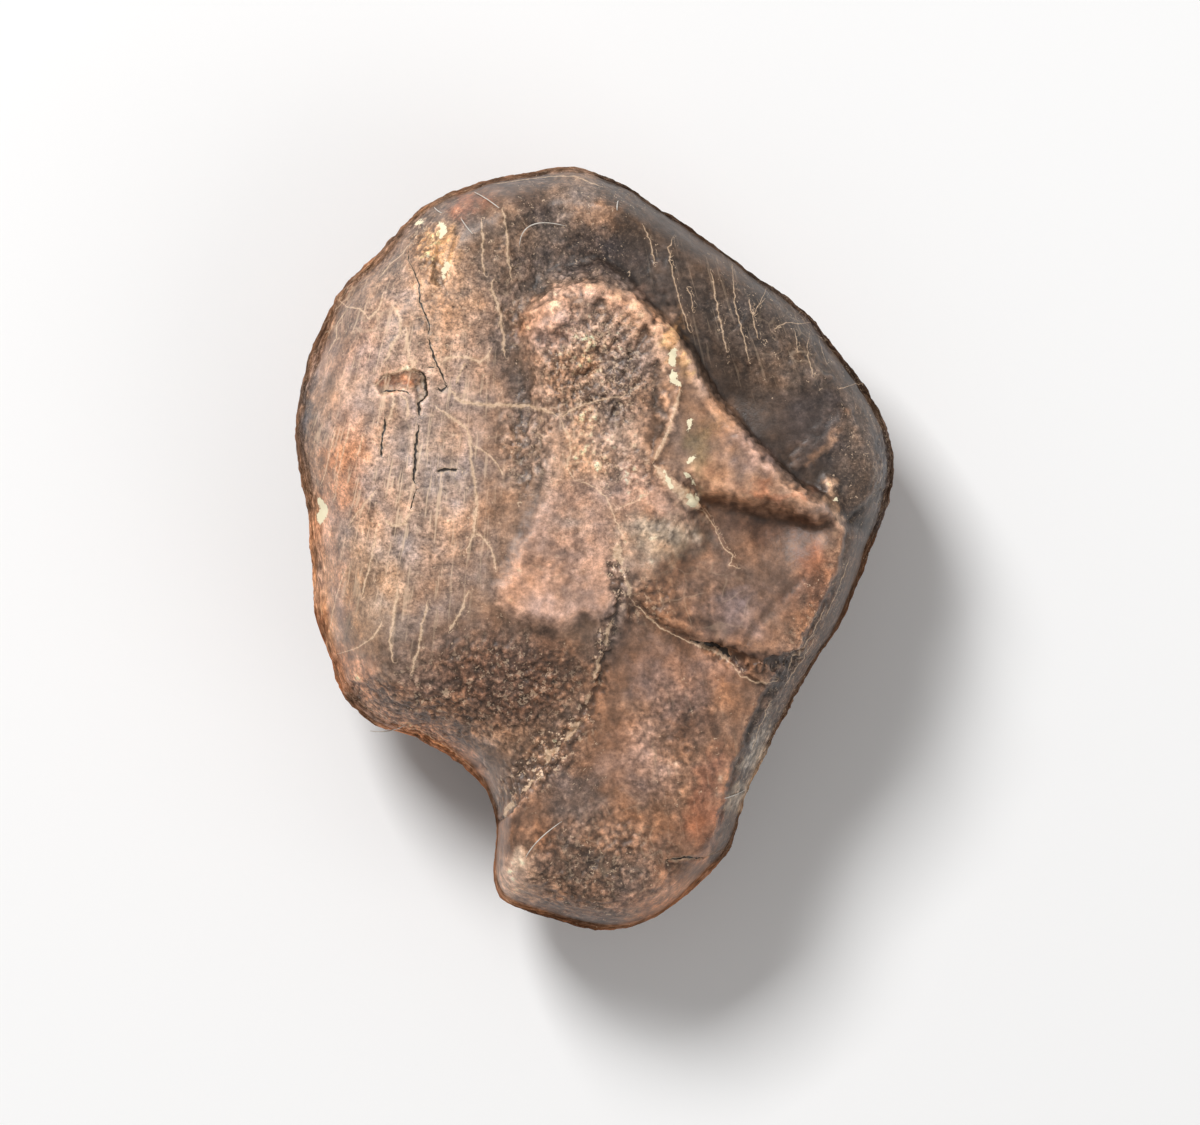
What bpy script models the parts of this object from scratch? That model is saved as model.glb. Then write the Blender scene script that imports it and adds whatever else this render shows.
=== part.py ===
"""Fossil triceratops tooth: a shed crown with a stump of its root, in one piece, lying on its back.

Metres, +Z up. The origin is on the surface that the tooth lies on, under the middle of its box.
The broken face looks up, with its right towards +X and its worn tip towards +Y, and the root
stump points along -Y. The face's features are placed by the pixels where the photograph shows
them, and every size follows from the tooth's real length. The back is this model's own design.
"""

import bmesh
import bpy
import numpy as np
from mathutils import Matrix, Vector

MM = 0.001

# Driving dimensions
TOOTH_LENGTH = 25.0 * MM
FACE_HEIGHT = 9.9 * MM

# The back's low keel: how far it would hang below the surface if the resting spot weren't cut from
# it, how sharply it curves (1 / m), where its sides flatten out, and how much slimmer than long it is
KEEL_SAG = 0.15 * MM
KEEL_CURVE = 33.0
KEEL_SHOULDER = 6.0 * MM
KEEL_SLIMNESS = 0.52

# The photograph's frame: the rows of the tooth's two ends, the pole that its directions are taken
# from, and the place that it balances on
TOP_PX, BOTTOM_PX = 167.0, 931.0
PX = TOOTH_LENGTH / (BOTTOM_PX - TOP_PX)
POLE_PX = (640, 545)
BALANCE_PX = (583, 520)

# The outline of the widest section, clockwise from the worn tip, and how many degrees each of its
# corners and those of the blunter back are smoothed over, to each side
OUTLINE_PX = (
    (571, 167), (628, 188), (655, 209), (708, 244), (754, 276), (799, 309), (835, 349), (868, 392),
    (887, 430), (893, 470), (886, 502), (868, 551), (852, 597), (820, 655), (796, 694), (775, 732),
    (753, 778), (739, 812), (731, 850), (708, 873), (660, 917), (627, 930), (594, 931), (560, 921),
    (500, 902), (490, 888), (497, 845), (500, 824), (485, 786), (451, 756), (411, 735), (376, 728),
    (342, 695), (333, 668), (318, 624), (315, 575), (308, 505), (296, 412), (304, 378), (325, 325),
    (338, 293), (384, 251), (406, 225), (430, 203), (496, 178), (528, 174),
)
RIM_SMOOTHING, BACK_SMOOTHING = 1, 6

# By direction round the tooth, in degrees from +X: the rim's height above the surface that the tooth
# lies on, and how far in from the rim the face and the back round off
DIRECTIONS = (0, 45, 100, 135, 180, 210, 235, 258, 290, 330)
RIM_HEIGHTS = np.array((4.4, 5.0, 5.3, 5.0, 4.7, 4.4, 4.1, 4.0, 4.0, 4.2)) * MM
FACE_ROUNDINGS = np.array((1.5, 2.0, 1.5, 3.2, 4.8, 3.4, 2.2, 2.2, 1.5, 1.3)) * MM
BACK_ROUNDINGS = np.array((4.6, 4.8, 5.0, 5.0, 5.0, 5.0, 5.0, 5.5, 5.0, 4.8)) * MM
TABLE_SMOOTHING = 9

# Broken faces, each one covering those before it: name, the place and the height that its plane
# passes through, its slopes to the right and to the top, the width of its wall, and its corners
FACETS = (
    ("lower block", (640, 700), 8.9 * MM, (-0.10, 0.17), 1.0 * MM, (
        (652, 616), (700, 640), (760, 668), (800, 655), (850, 640), (820, 740), (780, 880), (690, 960),
        (560, 960), (470, 920), (462, 835), (500, 812), (540, 762), (575, 720), (598, 680), (618, 640),
    )),
    ("right block", (650, 600), 9.7 * MM, (-0.12, -0.10), 1.0 * MM, (
        (655, 530), (690, 486), (735, 500), (765, 505), (814, 515), (850, 522), (890, 560), (850, 650),
        (800, 655), (760, 668), (700, 640), (652, 616), (630, 580),
    )),
    ("core", (600, 400), 10.35 * MM, (0.01, 0.06), 1.2 * MM, (
        (528, 296), (560, 280), (605, 276), (634, 290), (664, 314), (697, 345), (716, 390), (752, 432),
        (798, 478), (824, 498), (814, 515), (765, 505), (735, 500), (690, 492), (660, 530),
        (640, 580), (600, 560), (545, 480), (520, 400), (516, 340),
    )),
    ("boss", (565, 575), 10.4 * MM, (0.0, -0.03), 0.9 * MM, (
        (508, 540), (560, 505), (640, 520), (640, 580), (606, 619), (555, 620), (503, 606),
    )),
    ("trough", (700, 300), 8.8 * MM, (-0.05, 0.05), 1.0 * MM, (
        (515, 120), (512, 230), (528, 300), (560, 280), (605, 274), (632, 290), (662, 315), (696, 345),
        (716, 390), (752, 432), (798, 478), (824, 498), (860, 520), (940, 540), (940, 120),
    )),
)

# Soft hills and hollows: name, centre and radii in pixels, and height
FACE_MOUNDS = (
    ("left dome", (425, 450), (130, 200), 0.40 * MM),
    ("valley beside the core", (508, 380), (20, 150), -0.40 * MM),
    ("chip", (402, 384), (24, 12), -0.30 * MM),
    ("recess under the lip", (745, 530), (60, 24), -0.30 * MM),
    ("hollow below the crest", (720, 400), (40, 40), -0.35 * MM),
    ("hollow of the lower block", (600, 800), (45, 60), -0.25 * MM),
    ("swell of the lower block", (710, 780), (45, 90), 0.25 * MM),
    ("swell of the tip", (610, 215), (40, 24), 0.30 * MM),
)
BACK_MOUNDS = (
    ("hollow left of the keel", (435, 480), (60, 190), 0.50 * MM),
    ("hollow right of the keel", (745, 460), (65, 170), 0.55 * MM),
    ("groove of the root", (600, 920), (30, 90), 0.60 * MM),
)

# The bend below which the left half falls away to its lower edge, the fall, and how softly it starts
BEND_PX = ((700, 560), (600, 608), (540, 632), (480, 648), (400, 655), (250, 690))
BEND_SLOPE = 0.43
BEND_EASE = 1.0 * MM

# The skin's net: cuts in each edge of a ball of 20 triangles, and the tilt in degrees, from the
# ball's top, of the points that become the rim
CUTS = 21
RIM_TILT = 105.0
SPOT_TOLERANCE = 0.01 * MM


def at_photo(points_px):
    """Points of the photograph as metres on the tooth, in the X and Y of its own frame."""
    points = np.asarray(points_px, float).reshape(-1, 2)
    return (points - POLE_PX) * (PX, -PX)


def ease(t):
    """0 below 0, 1 above 1, and a smooth rise between them."""
    t = np.clip(t, 0, 1)
    return t * t * (3 - 2 * t)


def line_distance(x, y, line, closed=False):
    """Distance to a line of points, and which side of it: +1 on the left as it runs."""
    ends = np.roll(line, -1, axis=0) if closed else line[1:]
    starts = line if closed else line[:-1]
    nearest = np.full(x.shape, np.inf)
    side = np.ones(x.shape)
    for (ax, ay), (bx, by) in zip(starts, ends):
        dx, dy = bx - ax, by - ay
        t = np.clip(((x - ax) * dx + (y - ay) * dy) / (dx * dx + dy * dy), 0, 1)
        gap = np.hypot(x - ax - t * dx, y - ay - t * dy)
        closer = gap < nearest
        nearest = np.where(closer, gap, nearest)
        side = np.where(closer, np.where(dx * (y - ay) - dy * (x - ax) >= 0, 1.0, -1.0), side)
    return nearest, side


def inside_depth(x, y, loop):
    """How far inside a closed loop each point lies, and below 0 outside it."""
    nearest, _ = line_distance(x, y, loop, closed=True)
    inside = np.zeros(x.shape, bool)
    for (ax, ay), (bx, by) in zip(loop, np.roll(loop, -1, axis=0)):
        if ay != by:
            inside ^= ((ay > y) != (by > y)) & (x < (bx - ax) * (y - ay) / (by - ay) + ax)
    return np.where(inside, nearest, -nearest)


def mounds(x, y, table):
    """The summed height of soft round hills and hollows."""
    total = np.zeros(x.shape)
    for _, centre, radii, height in table:
        (cx, cy), = at_photo([centre])
        total += height * np.exp(-((x - cx) / (radii[0] * PX)) ** 2 - ((y - cy) / (radii[1] * PX)) ** 2)
    return total


def face_height(x, y):
    """Height of the broken face above the surface that the tooth lies on."""
    gap, side = line_distance(x, y, at_photo(BEND_PX))
    below = np.where(side > 0, gap, 0)
    height = FACE_HEIGHT - BEND_SLOPE * below**2 / (below + BEND_EASE)
    for _, place, level, (slope_x, slope_y), wall, corners in FACETS:
        (px, py), = at_photo([place])
        plane = level + slope_x * (x - px) + slope_y * (y - py)
        cover = ease(inside_depth(x, y, at_photo(corners)) / wall + 0.5)
        height += (plane - height) * cover
    return height + mounds(x, y, FACE_MOUNDS)


def back_height(x, y):
    """Height of the keeled back, which is below 0 where the resting spot is cut."""
    (bx, by), = at_photo([BALANCE_PX])
    off_keel = np.hypot(x - bx, KEEL_SLIMNESS * (y - by))
    keel = KEEL_CURVE * off_keel**2 / (1 + off_keel / KEEL_SHOULDER)
    return keel - KEEL_SAG + mounds(x, y, BACK_MOUNDS)


def smooth_loop(values, width):
    """A running mean round a closed loop of values, taken three times."""
    for _ in range(3):
        values = sum(np.roll(values, shift) for shift in range(-width, width + 1)) / (2 * width + 1)
    return values


def by_direction(direction, values):
    """A value that is stated for ten directions round the tooth, at any direction in degrees."""
    compass = np.arange(0, 360, 1.0)
    smooth = smooth_loop(np.interp(compass, DIRECTIONS, values, period=360), TABLE_SMOOTHING)
    return np.interp(direction, compass, smooth, period=360)


def rim_reach(direction):
    """How far the rim and the blunter back reach from the pole, in each direction."""
    corners = at_photo(OUTLINE_PX)
    corner_directions = np.degrees(np.arctan2(corners[:, 1], corners[:, 0]))
    compass = np.arange(0, 360, 1.0)
    reach = np.interp(compass, corner_directions, np.hypot(*corners.T), period=360)
    sharp = smooth_loop(reach, RIM_SMOOTHING)
    blunt = np.minimum(smooth_loop(reach, BACK_SMOOTHING), sharp)
    return (
        np.interp(direction, compass, sharp, period=360),
        np.interp(direction, compass, blunt, period=360),
    )


def arc(share, reach, rounding, rise):
    """Where an arc from the pole to the rim is, at a share of its length.

    It runs level to where the rounding starts, and then along a quarter ellipse. Returns the reach
    from the pole, and the part that the rim's own height has in the height there.
    """
    level = reach - rounding
    bend = np.hypot(rounding, rise) * np.pi / np.sqrt(8)
    run = share * (level + bend)
    turn = np.clip((run - level) / bend, 0, 1) * np.pi / 2
    return np.where(run < level, run, level + rounding * np.sin(turn)), 1 - np.cos(turn)


def skin_points(ball):
    """The skin's points, one for each point of a unit ball: its top gives the face."""
    tilt = np.degrees(np.arccos(np.clip(ball[:, 2], -1, 1)))
    direction = np.degrees(np.arctan2(ball[:, 1], ball[:, 0])) % 360
    is_face = tilt <= RIM_TILT
    share = np.where(is_face, tilt / RIM_TILT, (180 - tilt) / (180 - RIM_TILT))
    reach, blunt_reach = rim_reach(direction)
    rim = by_direction(direction, RIM_HEIGHTS)
    face_rounding = by_direction(direction, FACE_ROUNDINGS)
    back_rounding = by_direction(direction, BACK_ROUNDINGS)
    rounding = np.where(is_face, face_rounding, back_rounding)
    rise = np.where(is_face, FACE_HEIGHT - rim, rim)
    blend = np.where(is_face, 1, 1 - (1 - share) ** 2)
    radius, rim_part = arc(share, blunt_reach + (reach - blunt_reach) * blend, rounding, rise)
    x = radius * np.cos(np.radians(direction))
    y = radius * np.sin(np.radians(direction))
    middle = np.where(is_face, face_height(x, y), back_height(x, y))
    return np.stack((x, y, middle + (rim - middle) * rim_part), axis=1)


def cut_resting_spot(bm):
    """Cuts the back off flat where it meets the surface, and closes the cut with one face."""
    whole = bm.verts[:] + bm.edges[:] + bm.faces[:]
    cut = bmesh.ops.bisect_plane(
        bm, geom=whole, dist=SPOT_TOLERANCE, plane_co=(0, 0, 0), plane_no=(0, 0, -1), clear_outer=True
    )
    for vert in bm.verts:
        if vert.co.z < SPOT_TOLERANCE:
            vert.co.z = 0
    rim = [e for e in cut["geom_cut"] if isinstance(e, bmesh.types.BMEdge)]
    bmesh.ops.contextual_create(bm, geom=rim)


def build_tooth():
    """The whole tooth as one closed body."""
    bm = bmesh.new()
    bmesh.ops.create_icosphere(bm, subdivisions=1, radius=1)
    bmesh.ops.subdivide_edges(bm, edges=bm.edges[:], cuts=CUTS, use_grid_fill=True)
    ball = np.array([v.co.normalized() for v in bm.verts])
    for vert, place in zip(bm.verts, skin_points(ball)):
        vert.co = place
    cut_resting_spot(bm)
    bmesh.ops.recalc_face_normals(bm, faces=bm.faces)
    mesh = bpy.data.meshes.new("tooth")
    bm.to_mesh(mesh)
    bm.free()
    mesh.shade_smooth()
    return bpy.data.objects.new("tooth", mesh)


def fit_to_length(mesh):
    """Gives the mesh its real length, and puts the middle of its box over the origin."""
    points = np.array([v.co for v in mesh.vertices])
    low, high = points.min(axis=0), points.max(axis=0)
    middle = Vector(((low[0] + high[0]) / 2, (low[1] + high[1]) / 2, 0))
    mesh.transform(Matrix.Scale(TOOTH_LENGTH / (high[1] - low[1]), 4) @ Matrix.Translation(-middle))


def fossil_material():
    """Brown, waxy, iron-stained enamel and dentine."""
    material = bpy.data.materials.new("fossil")
    material.use_nodes = True
    shader = material.node_tree.nodes["Principled BSDF"]
    shader.inputs["Base Color"].default_value = (0.30, 0.20, 0.15, 1)
    shader.inputs["Roughness"].default_value = 0.42
    shader.inputs["Metallic"].default_value = 0.0
    return material


def main():
    for obj in list(bpy.data.objects):
        bpy.data.objects.remove(obj)
    tooth = build_tooth()
    fit_to_length(tooth.data)
    tooth.data.materials.append(fossil_material())
    bpy.context.scene.collection.objects.link(tooth)


main()
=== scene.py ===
"""Fossil triceratops tooth: the looks of the specimen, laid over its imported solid.

Metres, +Z up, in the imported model's own frame. The tooth lies on its back with its broken face up,
its right towards +X and its worn tip towards +Y. Places on the face are given by the pixels where the
photograph shows them, and every size follows from the tooth's real length. The form repeats the
solid's tables on a much finer net, and adds what the solid leaves out: crisp broken edges, cracks,
veins, crystals, pits, the layers of its sides, the wrinkles of its back, and a few lint fibres.
"""

import logging
import math
from collections.abc import Callable
from dataclasses import dataclass, field
from enum import Enum

import bmesh
import bpy
import numpy as np
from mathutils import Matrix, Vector
from mathutils.bvhtree import BVHTree


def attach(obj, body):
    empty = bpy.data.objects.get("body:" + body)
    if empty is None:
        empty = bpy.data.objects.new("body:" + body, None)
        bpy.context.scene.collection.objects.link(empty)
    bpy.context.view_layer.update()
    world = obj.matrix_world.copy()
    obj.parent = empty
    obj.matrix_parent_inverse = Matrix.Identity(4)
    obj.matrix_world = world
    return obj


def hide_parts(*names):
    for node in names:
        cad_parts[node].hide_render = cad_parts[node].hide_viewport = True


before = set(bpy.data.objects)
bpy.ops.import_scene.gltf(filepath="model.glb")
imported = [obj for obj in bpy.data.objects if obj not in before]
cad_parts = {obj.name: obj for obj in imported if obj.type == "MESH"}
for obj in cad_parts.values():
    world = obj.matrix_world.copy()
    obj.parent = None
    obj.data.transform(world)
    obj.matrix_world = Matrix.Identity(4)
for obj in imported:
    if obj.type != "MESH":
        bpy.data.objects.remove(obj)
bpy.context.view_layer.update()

Array = np.ndarray
Pixels = tuple[tuple[float, float], ...]
Socket = bpy.types.NodeSocket
Feed = Socket | float | tuple

LOG = logging.getLogger("fossil")
MM = 0.001

# The photograph's frame: the rows of the tooth's two ends, the middle of the tooth's box, the pole that
# directions round the tooth are taken from, and the place above the middle of the resting spot
PHOTO_WIDTH, PHOTO_HEIGHT = 1200, 1125
TOOTH_LENGTH = 25.0 * MM
TOP_PX, BOTTOM_PX = 167.0, 931.0
PX = TOOTH_LENGTH / (BOTTOM_PX - TOP_PX)
MIDDLE_PX = (594.5, 549.0)
POLE_PX = (640, 545)
BALANCE_PX = (583, 520)

# The outline of the widest section, clockwise from the worn tip
OUTLINE_PX = (
    (571, 167), (628, 188), (655, 209), (708, 244), (754, 276), (799, 309), (835, 349), (868, 392),
    (887, 430), (893, 470), (886, 502), (868, 551), (852, 597), (820, 655), (796, 694), (775, 732),
    (753, 778), (739, 812), (731, 850), (708, 873), (660, 917), (627, 930), (594, 931), (560, 921),
    (500, 902), (490, 888), (497, 845), (500, 824), (485, 786), (451, 756), (411, 735), (376, 728),
    (342, 695), (333, 668), (318, 624), (315, 575), (308, 505), (296, 412), (304, 378), (325, 325),
    (338, 293), (384, 251), (406, 225), (430, 203), (496, 178), (528, 174),
)

# By direction round the tooth, in degrees from +X: the rim's height above the surface that the tooth
# lies on, and how far in from the rim the face and the back round off
DIRECTIONS = (0, 45, 100, 135, 180, 210, 235, 258, 290, 330)
RIM_HEIGHTS = np.array((4.4, 5.0, 5.3, 5.0, 4.7, 4.4, 4.1, 4.0, 4.0, 4.2)) * MM
FACE_ROUNDINGS = np.array((1.5, 2.0, 1.5, 3.2, 4.8, 3.4, 2.2, 2.2, 1.5, 1.3)) * MM
BACK_ROUNDINGS = np.array((4.6, 4.8, 5.0, 5.0, 5.0, 5.0, 5.0, 5.5, 5.0, 4.8)) * MM

# Broken faces, each one covering those before it: name, the place and the height that its plane
# passes through, its slopes to the right and to the top, the width of its wall, and its corners
FACETS = (
    ("lower block", (640, 700), 8.9 * MM, (-0.10, 0.17), 0.6 * MM, (
        (640, 560), (760, 590), (850, 600), (840, 700), (800, 800), (780, 880), (690, 960),
        (560, 960), (470, 920), (462, 835), (500, 812), (540, 762), (575, 720), (598, 680), (618, 640),
    )),
    ("right block", (650, 600), 9.62 * MM, (-0.12, -0.09), 0.45 * MM, (
        (620, 540), (680, 460), (760, 470), (850, 490), (890, 560), (850, 650),
        (800, 655), (760, 668), (700, 640), (652, 616), (630, 590),
    )),
    ("upper hollow", (700, 300), 8.8 * MM, (-0.05, 0.05), 1.9 * MM, (
        (525, 120), (524, 200), (528, 300), (530, 420), (700, 440), (900, 520), (940, 120),
    )),
    ("core", (600, 400), 10.35 * MM, (0.01, 0.06), 1.3 * MM, (
        (530, 312), (556, 288), (600, 276), (650, 304), (706, 354), (740, 400), (790, 444),
        (824, 482), (790, 494), (735, 488), (694, 490), (690, 540), (650, 580),
        (620, 600), (556, 606), (536, 560), (542, 500), (532, 400), (524, 350),
    )),
    ("lip", (600, 400), 10.35 * MM, (0.01, 0.06), 0.9 * MM, (
        (690, 400), (740, 400), (812, 474), (838, 506), (814, 518), (765, 508), (735, 502), (704, 494),
    )),
    ("boss", (565, 510), 10.14 * MM, (0.0, -0.01), 0.75 * MM, (
        (560, 490), (590, 470), (604, 500), (610, 560), (616, 596), (606, 618), (584, 614),
        (560, 628), (536, 620), (518, 618), (500, 604), (498, 590), (512, 560), (532, 520),
    )),
    ("trough", (700, 300), 8.8 * MM, (-0.05, 0.05), 0.55 * MM, (
        (600, 120), (594, 250), (622, 276), (640, 302), (660, 325), (688, 354),
        (710, 397), (746, 439), (791, 485), (822, 502), (856, 534), (940, 544), (940, 120),
    )),
)

# Soft hills and hollows: name, centre and radii in pixels, and height
FACE_MOUNDS = (
    ("left dome", (425, 450), (130, 200), 0.40 * MM),
    ("valley beside the core", (510, 370), (30, 120), -0.30 * MM),
    ("slope left of the boss", (486, 550), (34, 60), 0.20 * MM),
    ("chip", (402, 384), (24, 12), -0.10 * MM),
    ("recess under the lip", (755, 532), (62, 26), -0.25 * MM),
    ("sag of the right block", (680, 560), (60, 50), 0.20 * MM),
    ("shoulder of the right block", (828, 545), (30, 34), 0.45 * MM),
    ("hollow below the crest", (720, 400), (40, 40), -0.35 * MM),
    ("hollow of the lower block", (600, 800), (45, 60), -0.25 * MM),
    ("swell of the lower block", (710, 780), (45, 90), 0.25 * MM),
    ("swell of the tip", (610, 215), (40, 24), 0.30 * MM),
)
BACK_MOUNDS = (
    ("hollow left of the keel", (435, 480), (60, 190), 0.50 * MM),
    ("hollow right of the keel", (745, 460), (65, 170), 0.55 * MM),
    ("groove of the root", (600, 920), (30, 90), 0.60 * MM),
)

# The bend below which the left half falls away to its lower edge
BEND_PX = ((1000, 416), (700, 560), (600, 608), (540, 632), (480, 648), (400, 655), (250, 690))

# Small broken steps: name, height (below 0 for a hollow), width of the wall, and corners
LEDGES = (
    ("pocket of the dome", -0.10 * MM, 0.12 * MM, (
        (378, 388), (384, 379), (396, 376), (412, 373), (422, 374), (426, 384), (427, 398), (420, 401),
        (414, 393), (404, 391), (393, 394), (384, 395),
    )),
    ("deep corner of the pocket", -0.08 * MM, 0.12 * MM, (
        (408, 375), (421, 374), (426, 384), (426, 398), (420, 400), (413, 386),
    )),
    ("band along the crest", 0.05 * MM, 0.25 * MM, (
        (556, 302), (560, 289), (590, 285), (615, 285), (634, 297), (655, 312), (672, 324), (692, 347),
        (706, 377), (700, 386), (684, 360), (664, 338), (646, 326), (626, 311), (600, 301),
    )),
    ("left lobe of the core", 0.10 * MM, 0.22 * MM, (
        (523, 320), (538, 304), (556, 297), (568, 304), (570, 322), (556, 336), (546, 352), (530, 344),
    )),
    ("fin at the end of the lip", 0.20 * MM, 0.45 * MM, (
        (823, 479), (832, 484), (840, 505), (838, 528), (828, 526), (819, 508),
    )),
    ("lens in the crack", 0.24 * MM, 0.14 * MM, (
        (746, 672), (752, 665), (764, 664), (776, 672), (784, 682), (770, 685), (754, 681),
    )),
    ("right wall", -0.30 * MM, 0.22 * MM, (
        (846, 516), (838, 567), (822, 599), (808, 629), (793, 658), (775, 676), (758, 702), (746, 729),
        (734, 761), (725, 790), (716, 830), (708, 862), (770, 870), (900, 640), (930, 500), (880, 490),
    )),
    ("knob of the root", 0.14 * MM, 0.9 * MM, (
        (499, 853), (520, 848), (538, 858), (546, 878), (531, 893), (506, 889),
    )),
    ("foot of the slab", -0.16 * MM, 0.16 * MM, (
        (666, 862), (690, 859), (716, 853), (735, 850), (722, 885), (690, 912), (668, 900),
    )),
    ("scar of the upper left rim", -0.14 * MM, 0.20 * MM, (
        (404, 238), (418, 214), (448, 206), (462, 226), (452, 262), (444, 290), (432, 286), (436, 250),
    )),
)

# Ridges and grooves along lines: name, height (below 0 for a groove), half width in pixels, points
FOLDS = (
    ("crest", 0.10 * MM, 5.0, (
        (540, 304), (560, 295), (590, 290), (613, 292), (631, 305), (648, 318), (664, 332), (684, 358),
        (702, 390), (730, 426), (765, 461), (804, 495),
    )),
    ("first crystal fold", 0.08 * MM, 3.5, ((620, 356), (631, 339), (642, 323))),
    ("shadow of the first fold", -0.10 * MM, 4.0, ((628, 360), (639, 343), (649, 329))),
    ("second crystal fold", 0.08 * MM, 3.0, ((648, 334), (662, 332), (672, 341), (676, 358))),
    ("left crystal fold", 0.09 * MM, 4.0, ((578, 326), (584, 310), (595, 296))),
    ("shadow of the left fold", -0.09 * MM, 4.0, ((588, 332), (594, 316), (604, 302))),
    ("lower fold of the left lobe", 0.08 * MM, 3.5, ((528, 330), (546, 328), (564, 322), (576, 312))),
    ("upper fold of the left lobe", 0.07 * MM, 3.0, ((530, 316), (546, 312), (560, 306))),
    ("cleft below the left lobe", -0.12 * MM, 5.0, ((534, 344), (552, 342), (570, 336))),
    ("long fold of the core", 0.08 * MM, 4.0, ((548, 376), (564, 360), (580, 350), (594, 342))),
    ("cleft beside the long fold", -0.10 * MM, 4.0, ((566, 386), (582, 378), (600, 368), (616, 362))),
    ("cleft under the glints", -0.10 * MM, 4.0, ((604, 438), (610, 420), (622, 404))),
    ("dark cleft of the core", -0.18 * MM, 8.0, ((656, 362), (655, 393), (653, 420), (652, 450))),
    ("raised vein of the core", 0.09 * MM, 3.0, ((680, 388), (673, 415), (665, 440), (653, 465))),
    ("raised vein to the lip", 0.12 * MM, 6.0, ((652, 467), (665, 479), (680, 494), (697, 508))),
    ("gap below the right block", -0.22 * MM, 5.5, (
        (700, 645), (722, 653), (745, 659), (768, 662), (788, 662), (800, 650),
    )),
    ("groove beside the seam", -0.12 * MM, 4.0, (
        (622, 590), (608, 652), (598, 690), (580, 722), (548, 758), (515, 800), (500, 822),
    )),
    ("fold of the right block", -0.05 * MM, 5.0, ((804, 574), (784, 592), (758, 622), (740, 648))),
    ("ridge of the trough", 0.07 * MM, 9.0, ((850, 412), (832, 436), (812, 452), (792, 470))),
    ("wave of the trough", 0.08 * MM, 12.0, ((650, 262), (700, 318), (745, 352), (790, 372), (830, 380))),
    ("foot of the left rim", -0.10 * MM, 9.0, ((352, 682), (400, 712), (446, 734), (486, 770))),
)

# Open cracks: name, depth, half width in pixels, points
CRACKS = (
    ("long crack, upper part", 0.05 * MM, 0.75, (
        (410, 248), (409, 262), (415, 275), (420, 286), (421, 301), (425, 313), (431, 326), (430, 340),
    )),
    ("right edge of the pocket", 0.06 * MM, 1.2, ((423, 375), (427, 386), (426, 399))),
    ("lower edge of the pocket", 0.04 * MM, 0.6, ((383, 394), (393, 392), (404, 392), (414, 397))),
    ("long crack, lower part", 0.05 * MM, 0.7, ((430, 340), (433, 353), (441, 372), (449, 389))),
    ("stem of the pocket", 0.10 * MM, 1.5, ((425, 376), (427, 396), (420, 405), (421, 418))),
    ("first standing crack", 0.06 * MM, 0.95, ((387, 418), (386, 430), (384, 443), (383, 459))),
    ("second standing crack", 0.07 * MM, 1.1, (
        (420, 426), (419, 437), (417, 449), (417, 462), (415, 475), (416, 486),
    )),
    ("foot of the second crack", 0.05 * MM, 0.7, ((418, 488), (415, 500), (412, 511))),
    ("twig of the long crack", 0.03 * MM, 0.6, ((428, 370), (437, 369), (441, 368))),
    ("nick by the long crack", 0.04 * MM, 0.8, ((438, 390), (443, 393), (448, 389))),
    ("nick of the dome's middle", 0.05 * MM, 1.4, ((438, 474), (446, 471), (460, 471))),
    ("line below the right block", 0.10 * MM, 1.1, ((690, 640), (705, 646), (718, 653), (730, 660))),
    ("crack over the foot", 0.08 * MM, 0.9, ((666, 860), (684, 857), (700, 858), (716, 853), (732, 848))),
)

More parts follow.
